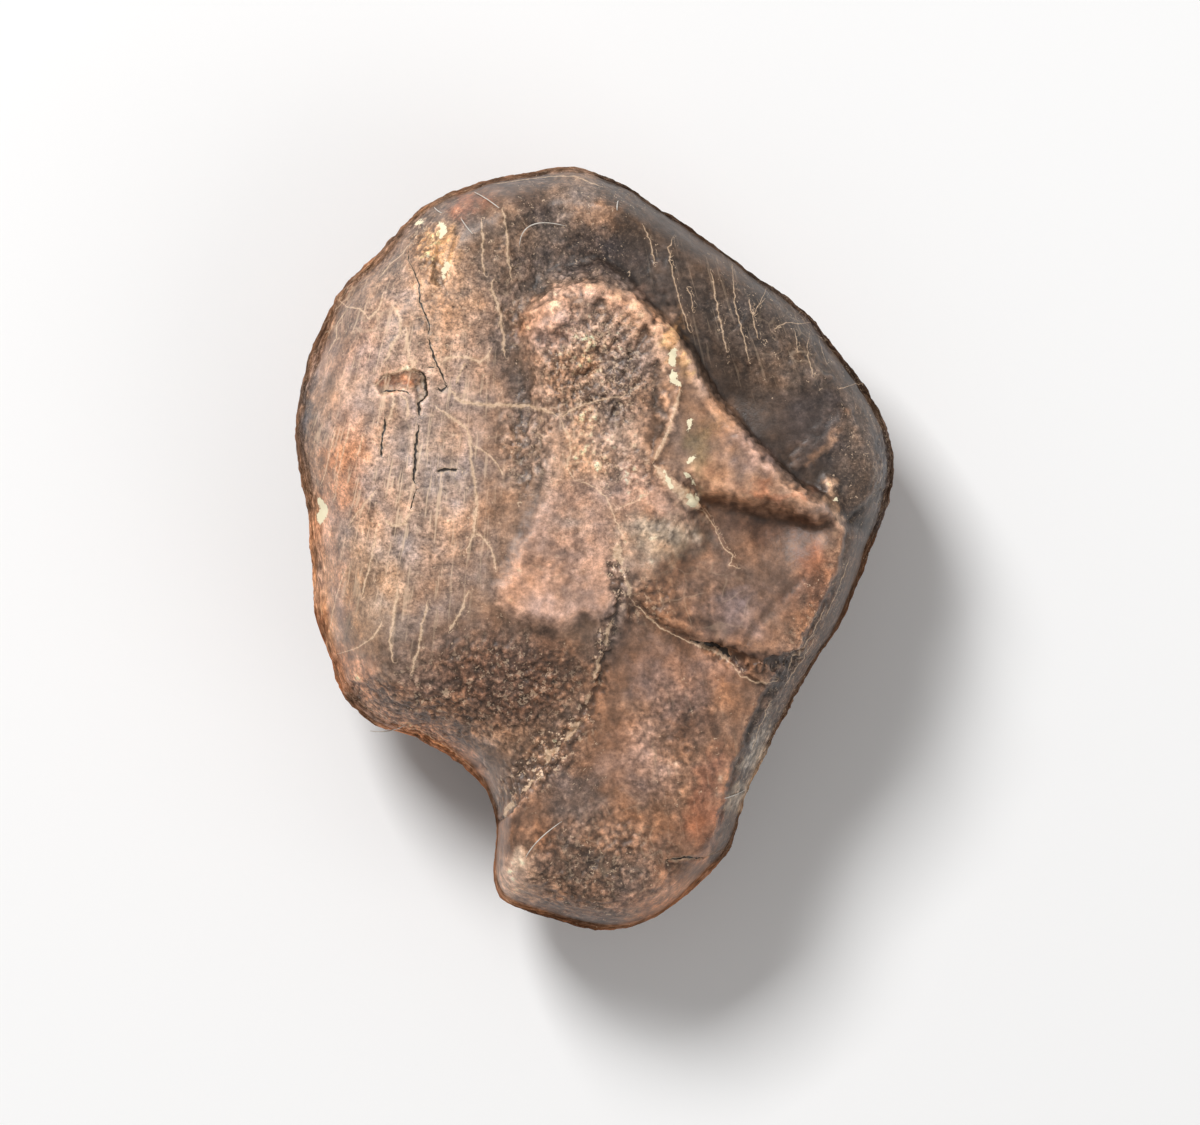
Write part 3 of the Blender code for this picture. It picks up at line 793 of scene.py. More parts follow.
@dataclass
class ToothForm:
    """The tooth's overall shape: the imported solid's, with crisper and more ragged broken edges."""

    face_level: float = 9.9 * MM
    keel_sag: float = 0.15 * MM
    keel_curve: float = 33.0
    keel_shoulder: float = 6.0 * MM
    keel_slimness: float = 0.52
    rim_tilt: float = 105.0
    rounding_share: float = 0.72
    rim_smoothing: int = 1
    back_smoothing: int = 6
    table_smoothing: int = 9
    bend_slope: float = 0.43
    bend_ease: float = 1.0 * MM
    ragged: float = 0.07 * MM
    ragged_size: float = 0.65 * MM
    noise: Noise = Noise(11)
    compass: Array = field(default_factory=lambda: np.arange(0, 360, 1.0))

    def mounds(self, x: Array, y: Array, table: tuple) -> Array:
        """The summed height of soft round hills and hollows."""
        total = np.zeros(x.shape)
        for _, centre, radii, height in table:
            (cx, cy), = at_photo([centre])
            total += height * np.exp(-((x - cx) / (radii[0] * PX)) ** 2 - ((y - cy) / (radii[1] * PX)) ** 2)
        return total

    def face_height(self, x: Array, y: Array) -> Array:
        """Height of the broken face above the surface that the tooth lies on."""
        gap, side, _ = line_distance(x, y, at_photo(BEND_PX))
        below = np.where(side > 0, gap, 0)
        height = self.face_level - self.bend_slope * below**2 / (below + self.bend_ease)
        wx, wy = self.noise.moved(x, y, self.ragged, self.ragged_size, 3, 50)
        for _, place, level, (slope_x, slope_y), wall, corners in FACETS:
            (px, py), = at_photo([place])
            plane = level + slope_x * (x - px) + slope_y * (y - py)
            height += (plane - height) * cover(wx, wy, at_photo(corners), wall)
        for _, lift, wall, corners in LEDGES:
            height += lift * cover(wx, wy, at_photo(corners), wall)
        return height + self.mounds(x, y, FACE_MOUNDS)

    def back_height(self, x: Array, y: Array) -> Array:
        """Height of the keeled back, which is below 0 where the resting spot is."""
        (bx, by), = at_photo([BALANCE_PX])
        off_keel = np.hypot(x - bx, self.keel_slimness * (y - by))
        keel = self.keel_curve * off_keel**2 / (1 + off_keel / self.keel_shoulder)
        return keel - self.keel_sag + self.mounds(x, y, BACK_MOUNDS)

    def by_direction(self, direction: Array, values: Array) -> Array:
        """A value that is stated for ten directions round the tooth, at any direction in degrees."""
        smooth = smooth_loop(np.interp(self.compass, DIRECTIONS, values, period=360), self.table_smoothing)
        return np.interp(direction, self.compass, smooth, period=360)

    def rim_reach(self, direction: Array) -> tuple[Array, Array]:
        """How far the rim and the blunter back reach from the pole, in each direction."""
        corners = at_photo(OUTLINE_PX)
        corner_directions = np.degrees(np.arctan2(corners[:, 1], corners[:, 0]))
        reach = np.interp(self.compass, corner_directions, np.hypot(*corners.T), period=360)
        sharp = smooth_loop(reach, self.rim_smoothing)
        blunt = np.minimum(smooth_loop(reach, self.back_smoothing), sharp)
        return (
            np.interp(direction, self.compass, sharp, period=360),
            np.interp(direction, self.compass, blunt, period=360),
        )

    def arc(self, share: Array, reach: Array, rounding: Array, drop: Array) -> tuple[Array, Array]:
        """Where an arc from the pole to the rim is.

        Args:
            share: The share of the arc's length.
            reach: How far the arc reaches from the pole.
            rounding: The length over which it rounds off at its end.
            drop: How much its height changes there.

        Returns:
            The reach from the pole, and the part that the rim's height has in the height there.
        """
        level = reach - rounding
        bend = np.hypot(rounding, drop) * np.pi / np.sqrt(8)
        run = share * (level + bend)
        turn = np.clip((run - level) / bend, 0, 1) * np.pi / 2
        return np.where(run < level, run, level + rounding * np.sin(turn)), 1 - np.cos(turn)

    def shares(self, ball: Array, on_face: Array | None = None) -> tuple[Array, Array, Array]:
        """Where points of the unit ball are on the tooth.

        Args:
            ball: Points of the unit ball, whose top gives the face.
            on_face: Whether each one is on the face, where that is settled already.

        Returns:
            The direction round the tooth in degrees, whether the point is on the face, and its share
            of the way from the middle of the face or the back to the rim.
        """
        tilt = np.degrees(np.arccos(np.clip(ball[:, 2], -1, 1)))
        direction = np.degrees(np.arctan2(ball[:, 1], ball[:, 0])) % 360
        if on_face is None:
            on_face = tilt <= self.rim_tilt
        share = np.where(on_face, tilt / self.rim_tilt, (180 - tilt) / (180 - self.rim_tilt))
        return direction, on_face, share

    def place(self, ball: Array) -> Patch:
        """The skin's points for some points of the unit ball."""
        direction, on_face, share = self.shares(ball)
        reach, blunt_reach = self.rim_reach(direction)
        rim = self.by_direction(direction, RIM_HEIGHTS)
        face_rounding = self.rounding_share * self.by_direction(direction, FACE_ROUNDINGS)
        back_rounding = self.by_direction(direction, BACK_ROUNDINGS)
        rounding = np.where(on_face, face_rounding, back_rounding)
        drop = np.where(on_face, self.face_level - rim, rim)
        blend = np.where(on_face, 1, 1 - (1 - share) ** 2)
        radius, rim_part = self.arc(share, blunt_reach + (reach - blunt_reach) * blend, rounding, drop)
        x = radius * np.cos(np.radians(direction))
        y = radius * np.sin(np.radians(direction))
        middle = np.empty(len(x))
        middle[on_face] = self.face_height(x[on_face], y[on_face])
        middle[~on_face] = self.back_height(x[~on_face], y[~on_face])
        return Patch(np.stack((x, y, middle + (rim - middle) * rim_part), axis=1), rim_part, on_face)


@dataclass
class Markings:
    """The lines and the kinds of surface on the face, at any pixels of the photograph."""

    wander: float = 1.3
    wander_size: float = 7.0
    drift: float = 12.0
    drift_size: float = 46.0
    fray: float = 5.0
    fray_size: float = 9.0
    fading: float = 0.75
    taper: float = 5.0
    blunt_end: float = 0.25
    full_width: float = 1.1
    least_width: float = 0.05
    unevenness: float = 0.5
    least_reach: float = 4.4
    far: float = 9.0
    noise: Noise = Noise(23)

    def wandered(
        self, u: Array, v: Array, reach: float | Array, size: float, layers: int
    ) -> tuple[Array, Array]:
        """Pixels moved about by noise, so that what is drawn over them gets ragged."""
        return self.noise.moved(u, v, reach, size, layers, 70)

    def line(self, u: Array, v: Array, points: Pixels, half_width: float) -> tuple[Array, Array]:
        """How a line lies to each pixel.

        Args:
            u: The pixels' columns.
            v: The pixels' rows.
            points: The line's points.
            half_width: Half its width.

        Returns:
            How close the line is, from 1 on its middle to 0 some pixels out, and the distance from its
            middle in half widths, which is below 0 on its right.
        """
        depth = np.zeros(u.shape)
        offset = np.full(u.shape, self.far)
        close = near(u, v, points, 4 * half_width + 2 * self.least_reach)
        if len(close):
            gap, side, along = line_distance(u[close], v[close], np.asarray(points, float))
            ends = ease(self.taper * np.minimum(along, 1 - along) + self.blunt_end)
            flat = np.stack((u[close], v[close], np.zeros(len(close))), axis=1) / self.wander_size
            uneven = self.unevenness * self.noise.layered(flat, 2, shift=9)
            width = np.maximum(half_width * ends * (self.full_width + uneven), self.least_width)
            depth[close] = np.clip(1 - gap / max(2 * half_width, self.least_reach), 0, 1)
            offset[close] = np.clip(side * gap / width, -self.far, self.far)
        return depth, offset

    def lines(self, u: Array, v: Array, facing: Array, table: list) -> tuple[Array, Array]:
        """How the nearest of several lines lies to each pixel.

        Args:
            u: The pixels' columns.
            v: The pixels' rows.
            facing: How squarely the skin faces the camera there, from 0 to 1.
            table: Half widths and points.

        Returns:
            What `line` returns, for the line that is nearest for its width.
        """
        wu, wv = self.wandered(u, v, self.wander * facing, self.wander_size, 2)
        depth = np.zeros(u.shape)
        offset = np.full(u.shape, self.far)
        for half_width, points in table:
            line_depth, line_offset = self.line(wu, wv, points, half_width)
            depth = np.maximum(depth, line_depth)
            offset = np.where(np.abs(line_offset) < np.abs(offset), line_offset, offset)
        return depth, np.clip(offset / facing, -self.far, self.far)

    def crack_depths(self, u: Array, v: Array, facing: Array) -> Array:
        """How deep the open cracks are at each pixel, in metres."""
        deepest = np.zeros(u.shape)
        for _, depth, half_width, points in CRACKS:
            _, offset = self.lines(u, v, facing, [(half_width, points)])
            deepest = np.maximum(deepest, depth * ease(1.6 - 0.8 * np.abs(offset)))
        return deepest

    def folds(self, u: Array, v: Array) -> Array:
        """The summed height of ridges and grooves, in metres."""
        wu, wv = self.wandered(u, v, 1.5 * self.wander, 2 * self.wander_size, 3)
        height = np.zeros(u.shape)
        for _, lift, half_width, points in FOLDS:
            _, offset = self.line(wu, wv, points, half_width)
            height += lift * ease(1 - np.abs(offset) / 2)
        return height

    def oval(self, u: Array, v: Array, centre: tuple, radii: tuple, turn: float) -> Array:
        """1 inside a soft oval, 0 outside it."""
        du, dv = u - centre[0], v - centre[1]
        cos, sin = math.cos(math.radians(turn)), math.sin(math.radians(turn))
        far = np.hypot((du * cos + dv * sin) / radii[0], (dv * cos - du * sin) / radii[1])
        return ease((1 - far) / self.fading)

    def textures(self, u: Array, v: Array) -> dict[str, Array]:
        """How much of each kind of surface there is at each pixel, from 0 to 1, by the kind's name."""
        wu, wv = self.wandered(u, v, self.drift / 2, self.drift_size / 2, 3)
        fields = {}
        for kind, ovals in TEXTURES.items():
            covers = [strength * self.oval(wu, wv, *oval) for *oval, strength in ovals]
            fields[kind.value] = np.max(covers, axis=0)
        return fields

    def stain_and_painted_light(self, u: Array, v: Array) -> Array:
        """The face's colour in linear light, with its painted shadows and highlights, one row for each
        pixel.
        """
        wu, wv = self.wandered(u, v, self.wander, self.wander_size, 2)
        colour = np.tile(Tint.CHOCOLATE.linear, (len(u), 1))
        corners = {step[0]: np.asarray(step[-1], float) for step in FACETS + LEDGES}
        for name, tint, strength, softness in FACET_TINTS:
            share = strength * cover(wu, wv, corners[name], softness)
            colour += (tint.linear - colour) * share[:, None]
        wu, wv = self.wandered(u, v, self.drift, self.drift_size, 4)
        fu, fv = self.wandered(u, v, self.fray, self.fray_size, 3)
        wu, wv = wu + fu - u, wv + fv - v
        for tint, centre, radii, turn, strength in STAINS:
            share = strength * self.oval(wu, wv, centre, radii, turn)
            colour += (tint.linear - colour) * share[:, None]
        return colour


@dataclass
class SkinNet:
    """A closed net of triangles, held as points of a unit ball."""

    ball: Array
    triangles: Array

    @classmethod
    def even(cls, cuts: int) -> "SkinNet":
        """A ball of 20 triangles, with each edge cut into equal parts."""
        bm = bmesh.new()
        bmesh.ops.create_icosphere(bm, subdivisions=1, radius=1)
        bmesh.ops.subdivide_edges(bm, edges=bm.edges[:], cuts=cuts, use_grid_fill=True)
        bmesh.ops.triangulate(bm, faces=bm.faces)
        bm.verts.index_update()
        ball = np.array([v.co.normalized() for v in bm.verts])
        triangles = np.array([[v.index for v in f.verts] for f in bm.faces])
        bm.free()
        return cls(ball, triangles)

    def edges(self) -> tuple[Array, Array]:
        """The net's edges.

        Returns:
            Each edge's two points, and each triangle's three edges, from its first point on.
        """
        pairs = np.stack((self.triangles, np.roll(self.triangles, -1, axis=1)), axis=2).reshape(-1, 2)
        pairs.sort(axis=1)
        keys, where = np.unique(pairs[:, 0] * len(self.ball) + pairs[:, 1], return_inverse=True)
        ends = np.stack((keys // len(self.ball), keys % len(self.ball)), axis=1)
        return ends, where.reshape(-1, 3)

    def split(self, too_long: Callable[[Array], Array]) -> int:
        """Cuts the edges that are too long, and the longest edge of each triangle that they touch.

        Args:
            too_long: Gives each edge's length over the longest that it may have, from its two ends.

        Returns:
            How many edges were cut.
        """
        ends, of_triangle = self.edges()
        excess = too_long(ends)
        turn = np.argmax(excess[of_triangle], axis=1)
        rows = np.arange(len(turn))[:, None]
        order = (turn[:, None] + np.arange(3)) % 3
        corners, sides = self.triangles[rows, order], of_triangle[rows, order]
        marked = excess > 1
        while True:
            touched = marked[sides].any(axis=1) & ~marked[sides[:, 0]]
            if not touched.any():
                break
            marked[sides[touched, 0]] = True
        cut = np.flatnonzero(marked)
        middle = np.full(len(ends), -1)
        middle[cut] = len(self.ball) + np.arange(len(cut))
        fresh = self.ball[ends[cut]].sum(axis=1)
        self.ball = np.vstack((self.ball, fresh / np.linalg.norm(fresh, axis=1, keepdims=True)))
        (a, b, c), (ab, bc, ca) = corners.T, middle[sides].T
        whole, right, left = ab < 0, (ab >= 0) & (bc >= 0), (ab >= 0) & (ca >= 0)
        plain_right, plain_left = (ab >= 0) & (bc < 0), (ab >= 0) & (ca < 0)
        self.triangles = np.vstack([
            np.stack(three, axis=1)[keep] for three, keep in (
                ((a, b, c), whole), ((a, ab, c), plain_left), ((ab, b, c), plain_right),
                ((a, ab, ca), left), ((ca, ab, c), left), ((ab, b, bc), right), ((ab, bc, c), right),
            )
        ])
        return len(cut)


def vertex_normals(points: Array, triangles: Array) -> Array:
    """The outward normal at each point of a net, weighted by the triangles' sizes."""
    a, b, c = (points[triangles[:, i]] for i in range(3))
    face = np.cross(b - a, c - a)
    total = np.stack([
        sum(np.bincount(triangles[:, i], face[:, axis], len(points)) for i in range(3)) for axis in range(3)
    ], axis=1)
    return total / np.maximum(np.linalg.norm(total, axis=1, keepdims=True), 1e-30)


def smoothed(points: Array, ends: Array, rounds: int) -> Array:
    """A net's points, each moved to the mean of itself and its neighbours, several times."""
    count = np.bincount(ends.ravel(), minlength=len(points)) + 1.0
    for _ in range(rounds):
        columns = []
        for axis in range(3):
            column = points[:, axis]
            total = np.bincount(ends[:, 0], column[ends[:, 1]], len(points))
            total += np.bincount(ends[:, 1], column[ends[:, 0]], len(points))
            columns.append((total + column) / count)
        points = np.stack(columns, axis=1)
    return points


@dataclass
class Relief:
    """The fine relief, as heights in metres along the skin's normals. Sizes are in millimetres."""

    wave_size: float = 2.6
    face_waves: float = 0.045 * MM
    side_waves: float = 0.072 * MM
    back_waves: float = 0.05 * MM
    grit_size: float = 0.42
    face_grit: float = 0.016 * MM
    least_grit: float = 0.4
    side_grit: float = 0.03 * MM
    fold_size: tuple = (0.42, 1.3, 0.6)
    fold_turn: float = 34.0
    crystal_fold: float = 0.16 * MM
    crystal: float = 0.27
    crystal_tilt: float = 0.1485 * MM
    crystal_step: float = 0.0432 * MM
    billow_size: float = 0.40
    billow: float = 0.10 * MM
    crumbly_billow: float = 0.6
    crumb: float = 0.26
    crumb_height: float = 0.12 * MM
    crumb_reach: float = 0.75
    crumb_tilt: float = 0.6
    layer_size: tuple = (1.25, 1.25, 0.24)
    layer_height: float = 0.07 * MM
    side_layers: float = 0.15
    wrinkle_size: tuple = (1 / 2.6, 1 / 0.35, 1.0)
    band_size: tuple = (5.0, 1 / 1.8, 1 / 0.6)
    band: float = 0.6
    wrinkle: float = 0.03 * MM
    vein_height: float = 0.012 * MM
    noise: Noise = Noise(37)

    def turned(self, mm: Array) -> Array:
        """Places in millimetres turned so that Y runs along the crystals' folds."""
        cos, sin = math.cos(math.radians(self.fold_turn)), math.sin(math.radians(self.fold_turn))
        across = mm[:, 0] * cos - mm[:, 1] * sin
        along = mm[:, 0] * sin + mm[:, 1] * cos
        return np.stack((across, along, mm[:, 2]), axis=1) / self.fold_size

    def crystals(self, mm: Array) -> Array:
        """The height of folded and tilted crystals."""
        folded = 0.5 - np.abs(self.noise.layered(self.turned(mm), 3, 0.6, 41))
        _, tone, tilt = self.noise.cells(mm / self.crystal)
        return self.crystal_fold * folded + self.crystal_tilt * tilt + self.crystal_step * (tone - 0.5)

    def crumbs(self, mm: Array) -> Array:
        """The height of loose crumbs with gaps between them."""
        nearest, tone, tilt = self.noise.cells(mm / self.crumb + 7)
        lump = (0.4 + tone) * ease((self.crumb_reach - nearest) * 2) - 0.4
        return self.crumb_height * (lump + self.crumb_tilt * tilt)

    def height(self, patch: Patch, marks: dict[str, Array]) -> Array:
        """The relief's height at each point, from the patch of skin and its markings by name."""
        mm = patch.points / MM
        side, back = patch.side(), patch.back()
        flat, face = 1 - side, 1 - back
        sugar, pitted, crumbly = marks["sugar"], marks["pitted"], marks["crumbly"]
        waves = self.face_waves * flat * face + self.side_waves * side + self.back_waves * flat * back
        height = waves * self.noise.layered(mm / self.wave_size, 3)
        gritty = self.least_grit + (1 - self.least_grit) * marks["gritty"]
        grit = (self.face_grit * gritty + self.side_grit * side) * face
        height += grit * self.noise.layered(mm / self.grit_size, 4, 0.6, 31)
        billows = np.abs(self.noise.layered(mm / self.billow_size, 3, 0.6, 13)) - 0.3
        height += self.billow * billows * np.maximum(pitted, self.crumbly_billow * crumbly)
        height += self.crystals(mm) * sugar + self.crumbs(mm) * crumbly
        layers = np.abs(self.noise.layered(mm / self.layer_size, 2, shift=3))
        height += self.layer_height * layers * side * (self.side_layers + (1 - self.side_layers) * back)
        wrinkles = self.noise.layered(mm / self.wrinkle_size, 2, shift=17)
        wrinkles += self.band * self.noise.smooth(mm / self.band_size + 29)
        height += self.wrinkle * wrinkles * back
        return height + (marks["fold"] - marks["crack_depth"] + self.vein_height * marks["vein"]) * face


@dataclass
class PatinaAndShade:
    """What weathering does to the stone's colour, and the painted shade and highlights laid with it.

    Sizes are in millimetres. Hollow and shade paint shade where the skin dips, finely and broadly, and
    highlights on raised edges; each has rounds of smoothing, a depth and a strength.
    """

    hue_size: float = 1.7
    hue: tuple = (0.12, 0.01, -0.13)
    richness: float = 1.20
    blotch_size: float = 0.50
    blotch: float = 0.24
    rough_blotch: float = 0.44
    crumb: float = 0.24
    crumb_tone: float = 1.3
    crystal_tone: float = 0.75
    broad: float = 0.30
    broad_size: tuple = (0.5, 1.8, 1.0)
    streak: float = 0.18
    streak_size: tuple = (0.22, 2.4, 1.0)
    # Painted shade: the sides darker and warmer where the skin turns down to the rim
    painted_side_shade: tuple = (0.75, 0.63, 0.54)
    # Painted shade in fine and broad hollows, and painted highlights on raised edges
    hollow: tuple = (2, 0.010 * MM, 0.32)
    shade: tuple = (9, 0.06 * MM, 0.28)
    darkest: float = -1.5
    lightest: float = 1.2
    noise: Noise = Noise(53)

    def weather_and_shade_sides(self, colour: Array, mm: Array, side: Array, grain: Array, marks: dict) -> Array:
        """The colour with its patches, blotches and streaks, and painted shade on the sides.

        Args:
            colour: The stained colour in linear light, one row for each point.
            mm: The points in millimetres.
            side: How much of a side each point is, from 0 to 1; it sets how much painted shade the point
                gets.
            grain: The points across and along the growth lines, in millimetres.
            marks: The markings at each point, by name.

        Returns:
            The new colours.
        """
        hue = self.noise.layered(mm / self.hue_size, 5, 0.65)
        rough = np.maximum(marks["sugar"], np.maximum(marks["pitted"], marks["crumbly"]))
        blotch = self.noise.layered(mm / self.blotch_size, 4, 0.75, 11)
        streak = self.noise.layered(grain / self.streak_size, 3, 0.7, 5) * marks["grooved"]
        _, crumb, _ = self.noise.cells(mm / self.crumb)
        tone = blotch * (self.blotch + self.rough_blotch * rough) + self.streak * streak
        tone += self.broad * self.noise.layered(grain / self.broad_size, 4, 0.65, 61)
        loose = np.maximum(marks["crumbly"], self.crystal_tone * marks["sugar"])
        tone += self.crumb_tone * (crumb - 0.5) * loose
        grey = colour.mean(axis=1, keepdims=True)
        rich = grey * (colour / grey) ** self.richness
        # Painted shade on the sides
        rim = 1 + side[:, None] * (np.array(self.painted_side_shade) - 1)
        return rich * rim * np.exp(hue[:, None] * self.hue + tone[:, None])

    def painted_shade_and_highlight(self, raised: Array, ends: Array, normals: Array) -> Array:
        """A factor on the colour: painted shade, below 1 where the skin sinks below its smoothed self, and
        painted highlight, above 1 on raised edges.
        """
        total = np.zeros(len(raised))
        for rounds, depth, strength in (self.hollow, self.shade):
            stands = np.einsum("ij,ij->i", raised - smoothed(raised, ends, rounds), normals)
            total += strength * np.clip(stands / depth, self.darkest, self.lightest)
        return np.exp(total)[:, None]


@dataclass
class BackStain:
    """The colour of the back and of the sides below the rim. Sizes are in millimetres."""

    cloud_size: float = 3.2
    clouds: float = 0.8
    streak_size: tuple = (1 / 1.5, 4.0, 2.0)
    streaks: float = 0.9
    streak_share: float = 0.6
    upper_start: float = 2.4
    upper_span: float = 2.2
    upper_share: float = 0.5
    noise: Noise = Noise(37)

    def lay(self, colour: Array, mm: Array, back: Array) -> None:
        """Colours the points that the photograph doesn't show, which are given in millimetres."""
        cloudy = ease(0.5 + self.clouds * self.noise.layered(mm / self.cloud_size, 3, shift=5))[:, None]
        streaked = ease(self.streaks * self.noise.layered(mm / self.streak_size, 3, shift=9))[:, None]
        enamel = Tint.BISTRE.linear * (1 - cloudy) + Tint.UMBER.linear * cloudy
        enamel += (Tint.COCOA.linear - enamel) * streaked * self.streak_share
        upper = rise(mm[:, 2:], self.upper_start, self.upper_span)
        enamel += (Tint.TAUPE.linear - enamel) * upper * self.upper_share
        colour += (enamel - colour) * back[:, None]


@dataclass
class Studio:
    """The plain pale floor, the soft light and the camera, which looks straight down as the photo does."""

    floor_side: float = 0.6
    camera_distance: float = 0.60
    rim_level: float = 5.0 * MM
    sensor: float = 36.0
    key_place: tuple = (-0.12, 0.18, 0.28)
    key_side: float = 0.11
    key_power: float = 1.05
    fill_place: tuple = (0.20, -0.12, 0.22)
    fill_side: float = 0.22
    fill_power: float = 0.15
    sky: float = 0.31
    sky_colour: tuple = (1.0, 0.985, 0.97, 1.0)

    def build(self) -> None:
        """Makes the floor, the lights, the sky and the camera."""
        self.floor()
        self.lamp("key light", self.key_place, self.key_side, self.key_power)
        self.lamp("fill light", self.fill_place, self.fill_side, self.fill_power)
        world = bpy.data.worlds.new("studio")
        world.use_nodes = True
        background = world.node_tree.nodes["Background"]
        background.inputs["Color"].default_value = self.sky_colour
        background.inputs["Strength"].default_value = self.sky
        bpy.context.scene.world = world
        bpy.context.scene.view_settings.view_transform = "Standard"
        self.camera()

    def floor(self) -> None:
        """Makes the pale floor that the tooth lies on."""
        half = self.floor_side / 2
        mesh = bpy.data.meshes.new("floor")
        corners = [(-half, -half, 0), (half, -half, 0), (half, half, 0), (-half, half, 0)]
        mesh.from_pydata(corners, [], [(0, 1, 2, 3)])
        mesh.materials.append(FloorFinish().material())
        floor = bpy.data.objects.new("floor", mesh)
        bpy.context.scene.collection.objects.link(floor)

    def lamp(self, name: str, place: tuple, side: float, power: float) -> None:
        """Makes a square soft light that faces the tooth."""
        light = bpy.data.lights.new(name, "AREA")
        light.size = side
        light.energy = power
        lamp = bpy.data.objects.new(name, light)
        lamp.location = place
        lamp.rotation_euler = (-Vector(place)).to_track_quat("-Z", "Y").to_euler()
        bpy.context.scene.collection.objects.link(lamp)

    def camera(self) -> None:
        """Makes the camera, with the photograph's middle in the middle of its view."""
        data = bpy.data.cameras.new("camera")
        data.sensor_width = self.sensor
        data.lens = self.sensor * self.camera_distance / (PHOTO_WIDTH * PX)
        camera = bpy.data.objects.new("camera", data)
        right = (PHOTO_WIDTH / 2 - MIDDLE_PX[0]) * PX
        up = (MIDDLE_PX[1] - PHOTO_HEIGHT / 2) * PX
        camera.location = (right, up, self.rim_level + self.camera_distance)
        bpy.context.scene.collection.objects.link(camera)
        bpy.context.scene.camera = camera


class Graph:
    """Short ways to add nodes to a material or a node group."""

    def __init__(self, tree: bpy.types.NodeTree) -> None:
        """Takes the tree that the nodes go in."""
        self.tree = tree

    def feed(self, socket: Socket, value: Feed) -> None:
        """Links another socket to this one, or sets its value."""
        if isinstance(value, bpy.types.NodeSocket):
            self.tree.links.new(value, socket)
        else:
            socket.default_value = value

    def node(self, kind: str, inputs: dict | None = None, **settings: object) -> bpy.types.Node:
        """Adds a node.

        Args:
            kind: Its type, without the word ShaderNode.
            inputs: What feeds its sockets, by name or number.
            settings: Its other properties.

        Returns:
            The node.
        """
        made = self.tree.nodes.new("ShaderNode" + kind)
        for name, value in settings.items():
            setattr(made, name, value)
        for name, value in (inputs or {}).items():
            self.feed(made.inputs[name], value)
        return made

    def math(self, operation: str, a: Feed, b: Feed = 0.0) -> Socket:
        """One step of arithmetic."""
        return self.node("Math", {0: a, 1: b}, operation=operation).outputs[0]

    def times(self, product: Feed, *factors: Feed) -> Feed:
        """The product of one or more values."""
        for factor in factors:
            product = self.math("MULTIPLY", product, factor)
        return product

    def swing(self, noise: Feed, reach: Feed, least: float) -> Socket:
        """A factor round 1 that follows noise round a half, and isn't below a least one."""
        moved = self.times(self.math("SUBTRACT", noise, 0.5), reach)
        return self.math("MAXIMUM", self.math("ADD", moved, 1.0), least)

    def ramp(self, value: Feed, low: Feed, high: Feed, to_low: Feed = 0.0, to_high: Feed = 1.0) -> Socket:
        """A smooth, limited step from one value to another."""
        inputs = {"Value": value, "From Min": low, "From Max": high, "To Min": to_low, "To Max": to_high}
        return self.node("MapRange", inputs, interpolation_type="SMOOTHSTEP").outputs["Result"]

    def mix(self, share: Feed, a: Feed, b: Feed, blend: str = "MIX") -> Socket:
        """A mix of two colours."""
        made = self.node("Mix", {0: share, 6: a, 7: b}, data_type="RGBA", blend_type=blend)
        return made.outputs[2]

    def scaled(self, vector: Feed, scale: Feed) -> Socket:
        """A vector times another vector."""
        return self.node("VectorMath", {0: vector, 1: scale}, operation="MULTIPLY").outputs[0]

    def noise(self, vector: Feed, scale: Feed, detail: float = 3.0, roughness: float = 0.55) -> Socket:
        """Smooth noise from 0 to 1."""
        inputs = {"Vector": vector, "Scale": scale, "Detail": detail, "Roughness": roughness}
        return self.node("TexNoise", inputs).outputs["Fac"]

    def field(self, name: str) -> Socket:
        """A value that the mesh holds at each point."""
        return self.node("Attribute", attribute_name=name).outputs["Fac"]

    def place(self) -> Socket:
        """Where a point of the object is, in millimetres."""
        return self.scaled(self.node("TexCoord").outputs["Object"], (1 / MM,) * 3)

    def group(self, group: bpy.types.NodeTree, inputs: dict) -> bpy.types.Node:
        """Places a node group, whose sockets exist only once its tree is set."""
        made = self.tree.nodes.new("ShaderNodeGroup")
        made.node_tree = group
        for name, value in inputs.items():
            self.feed(made.inputs[name], value)
        return made


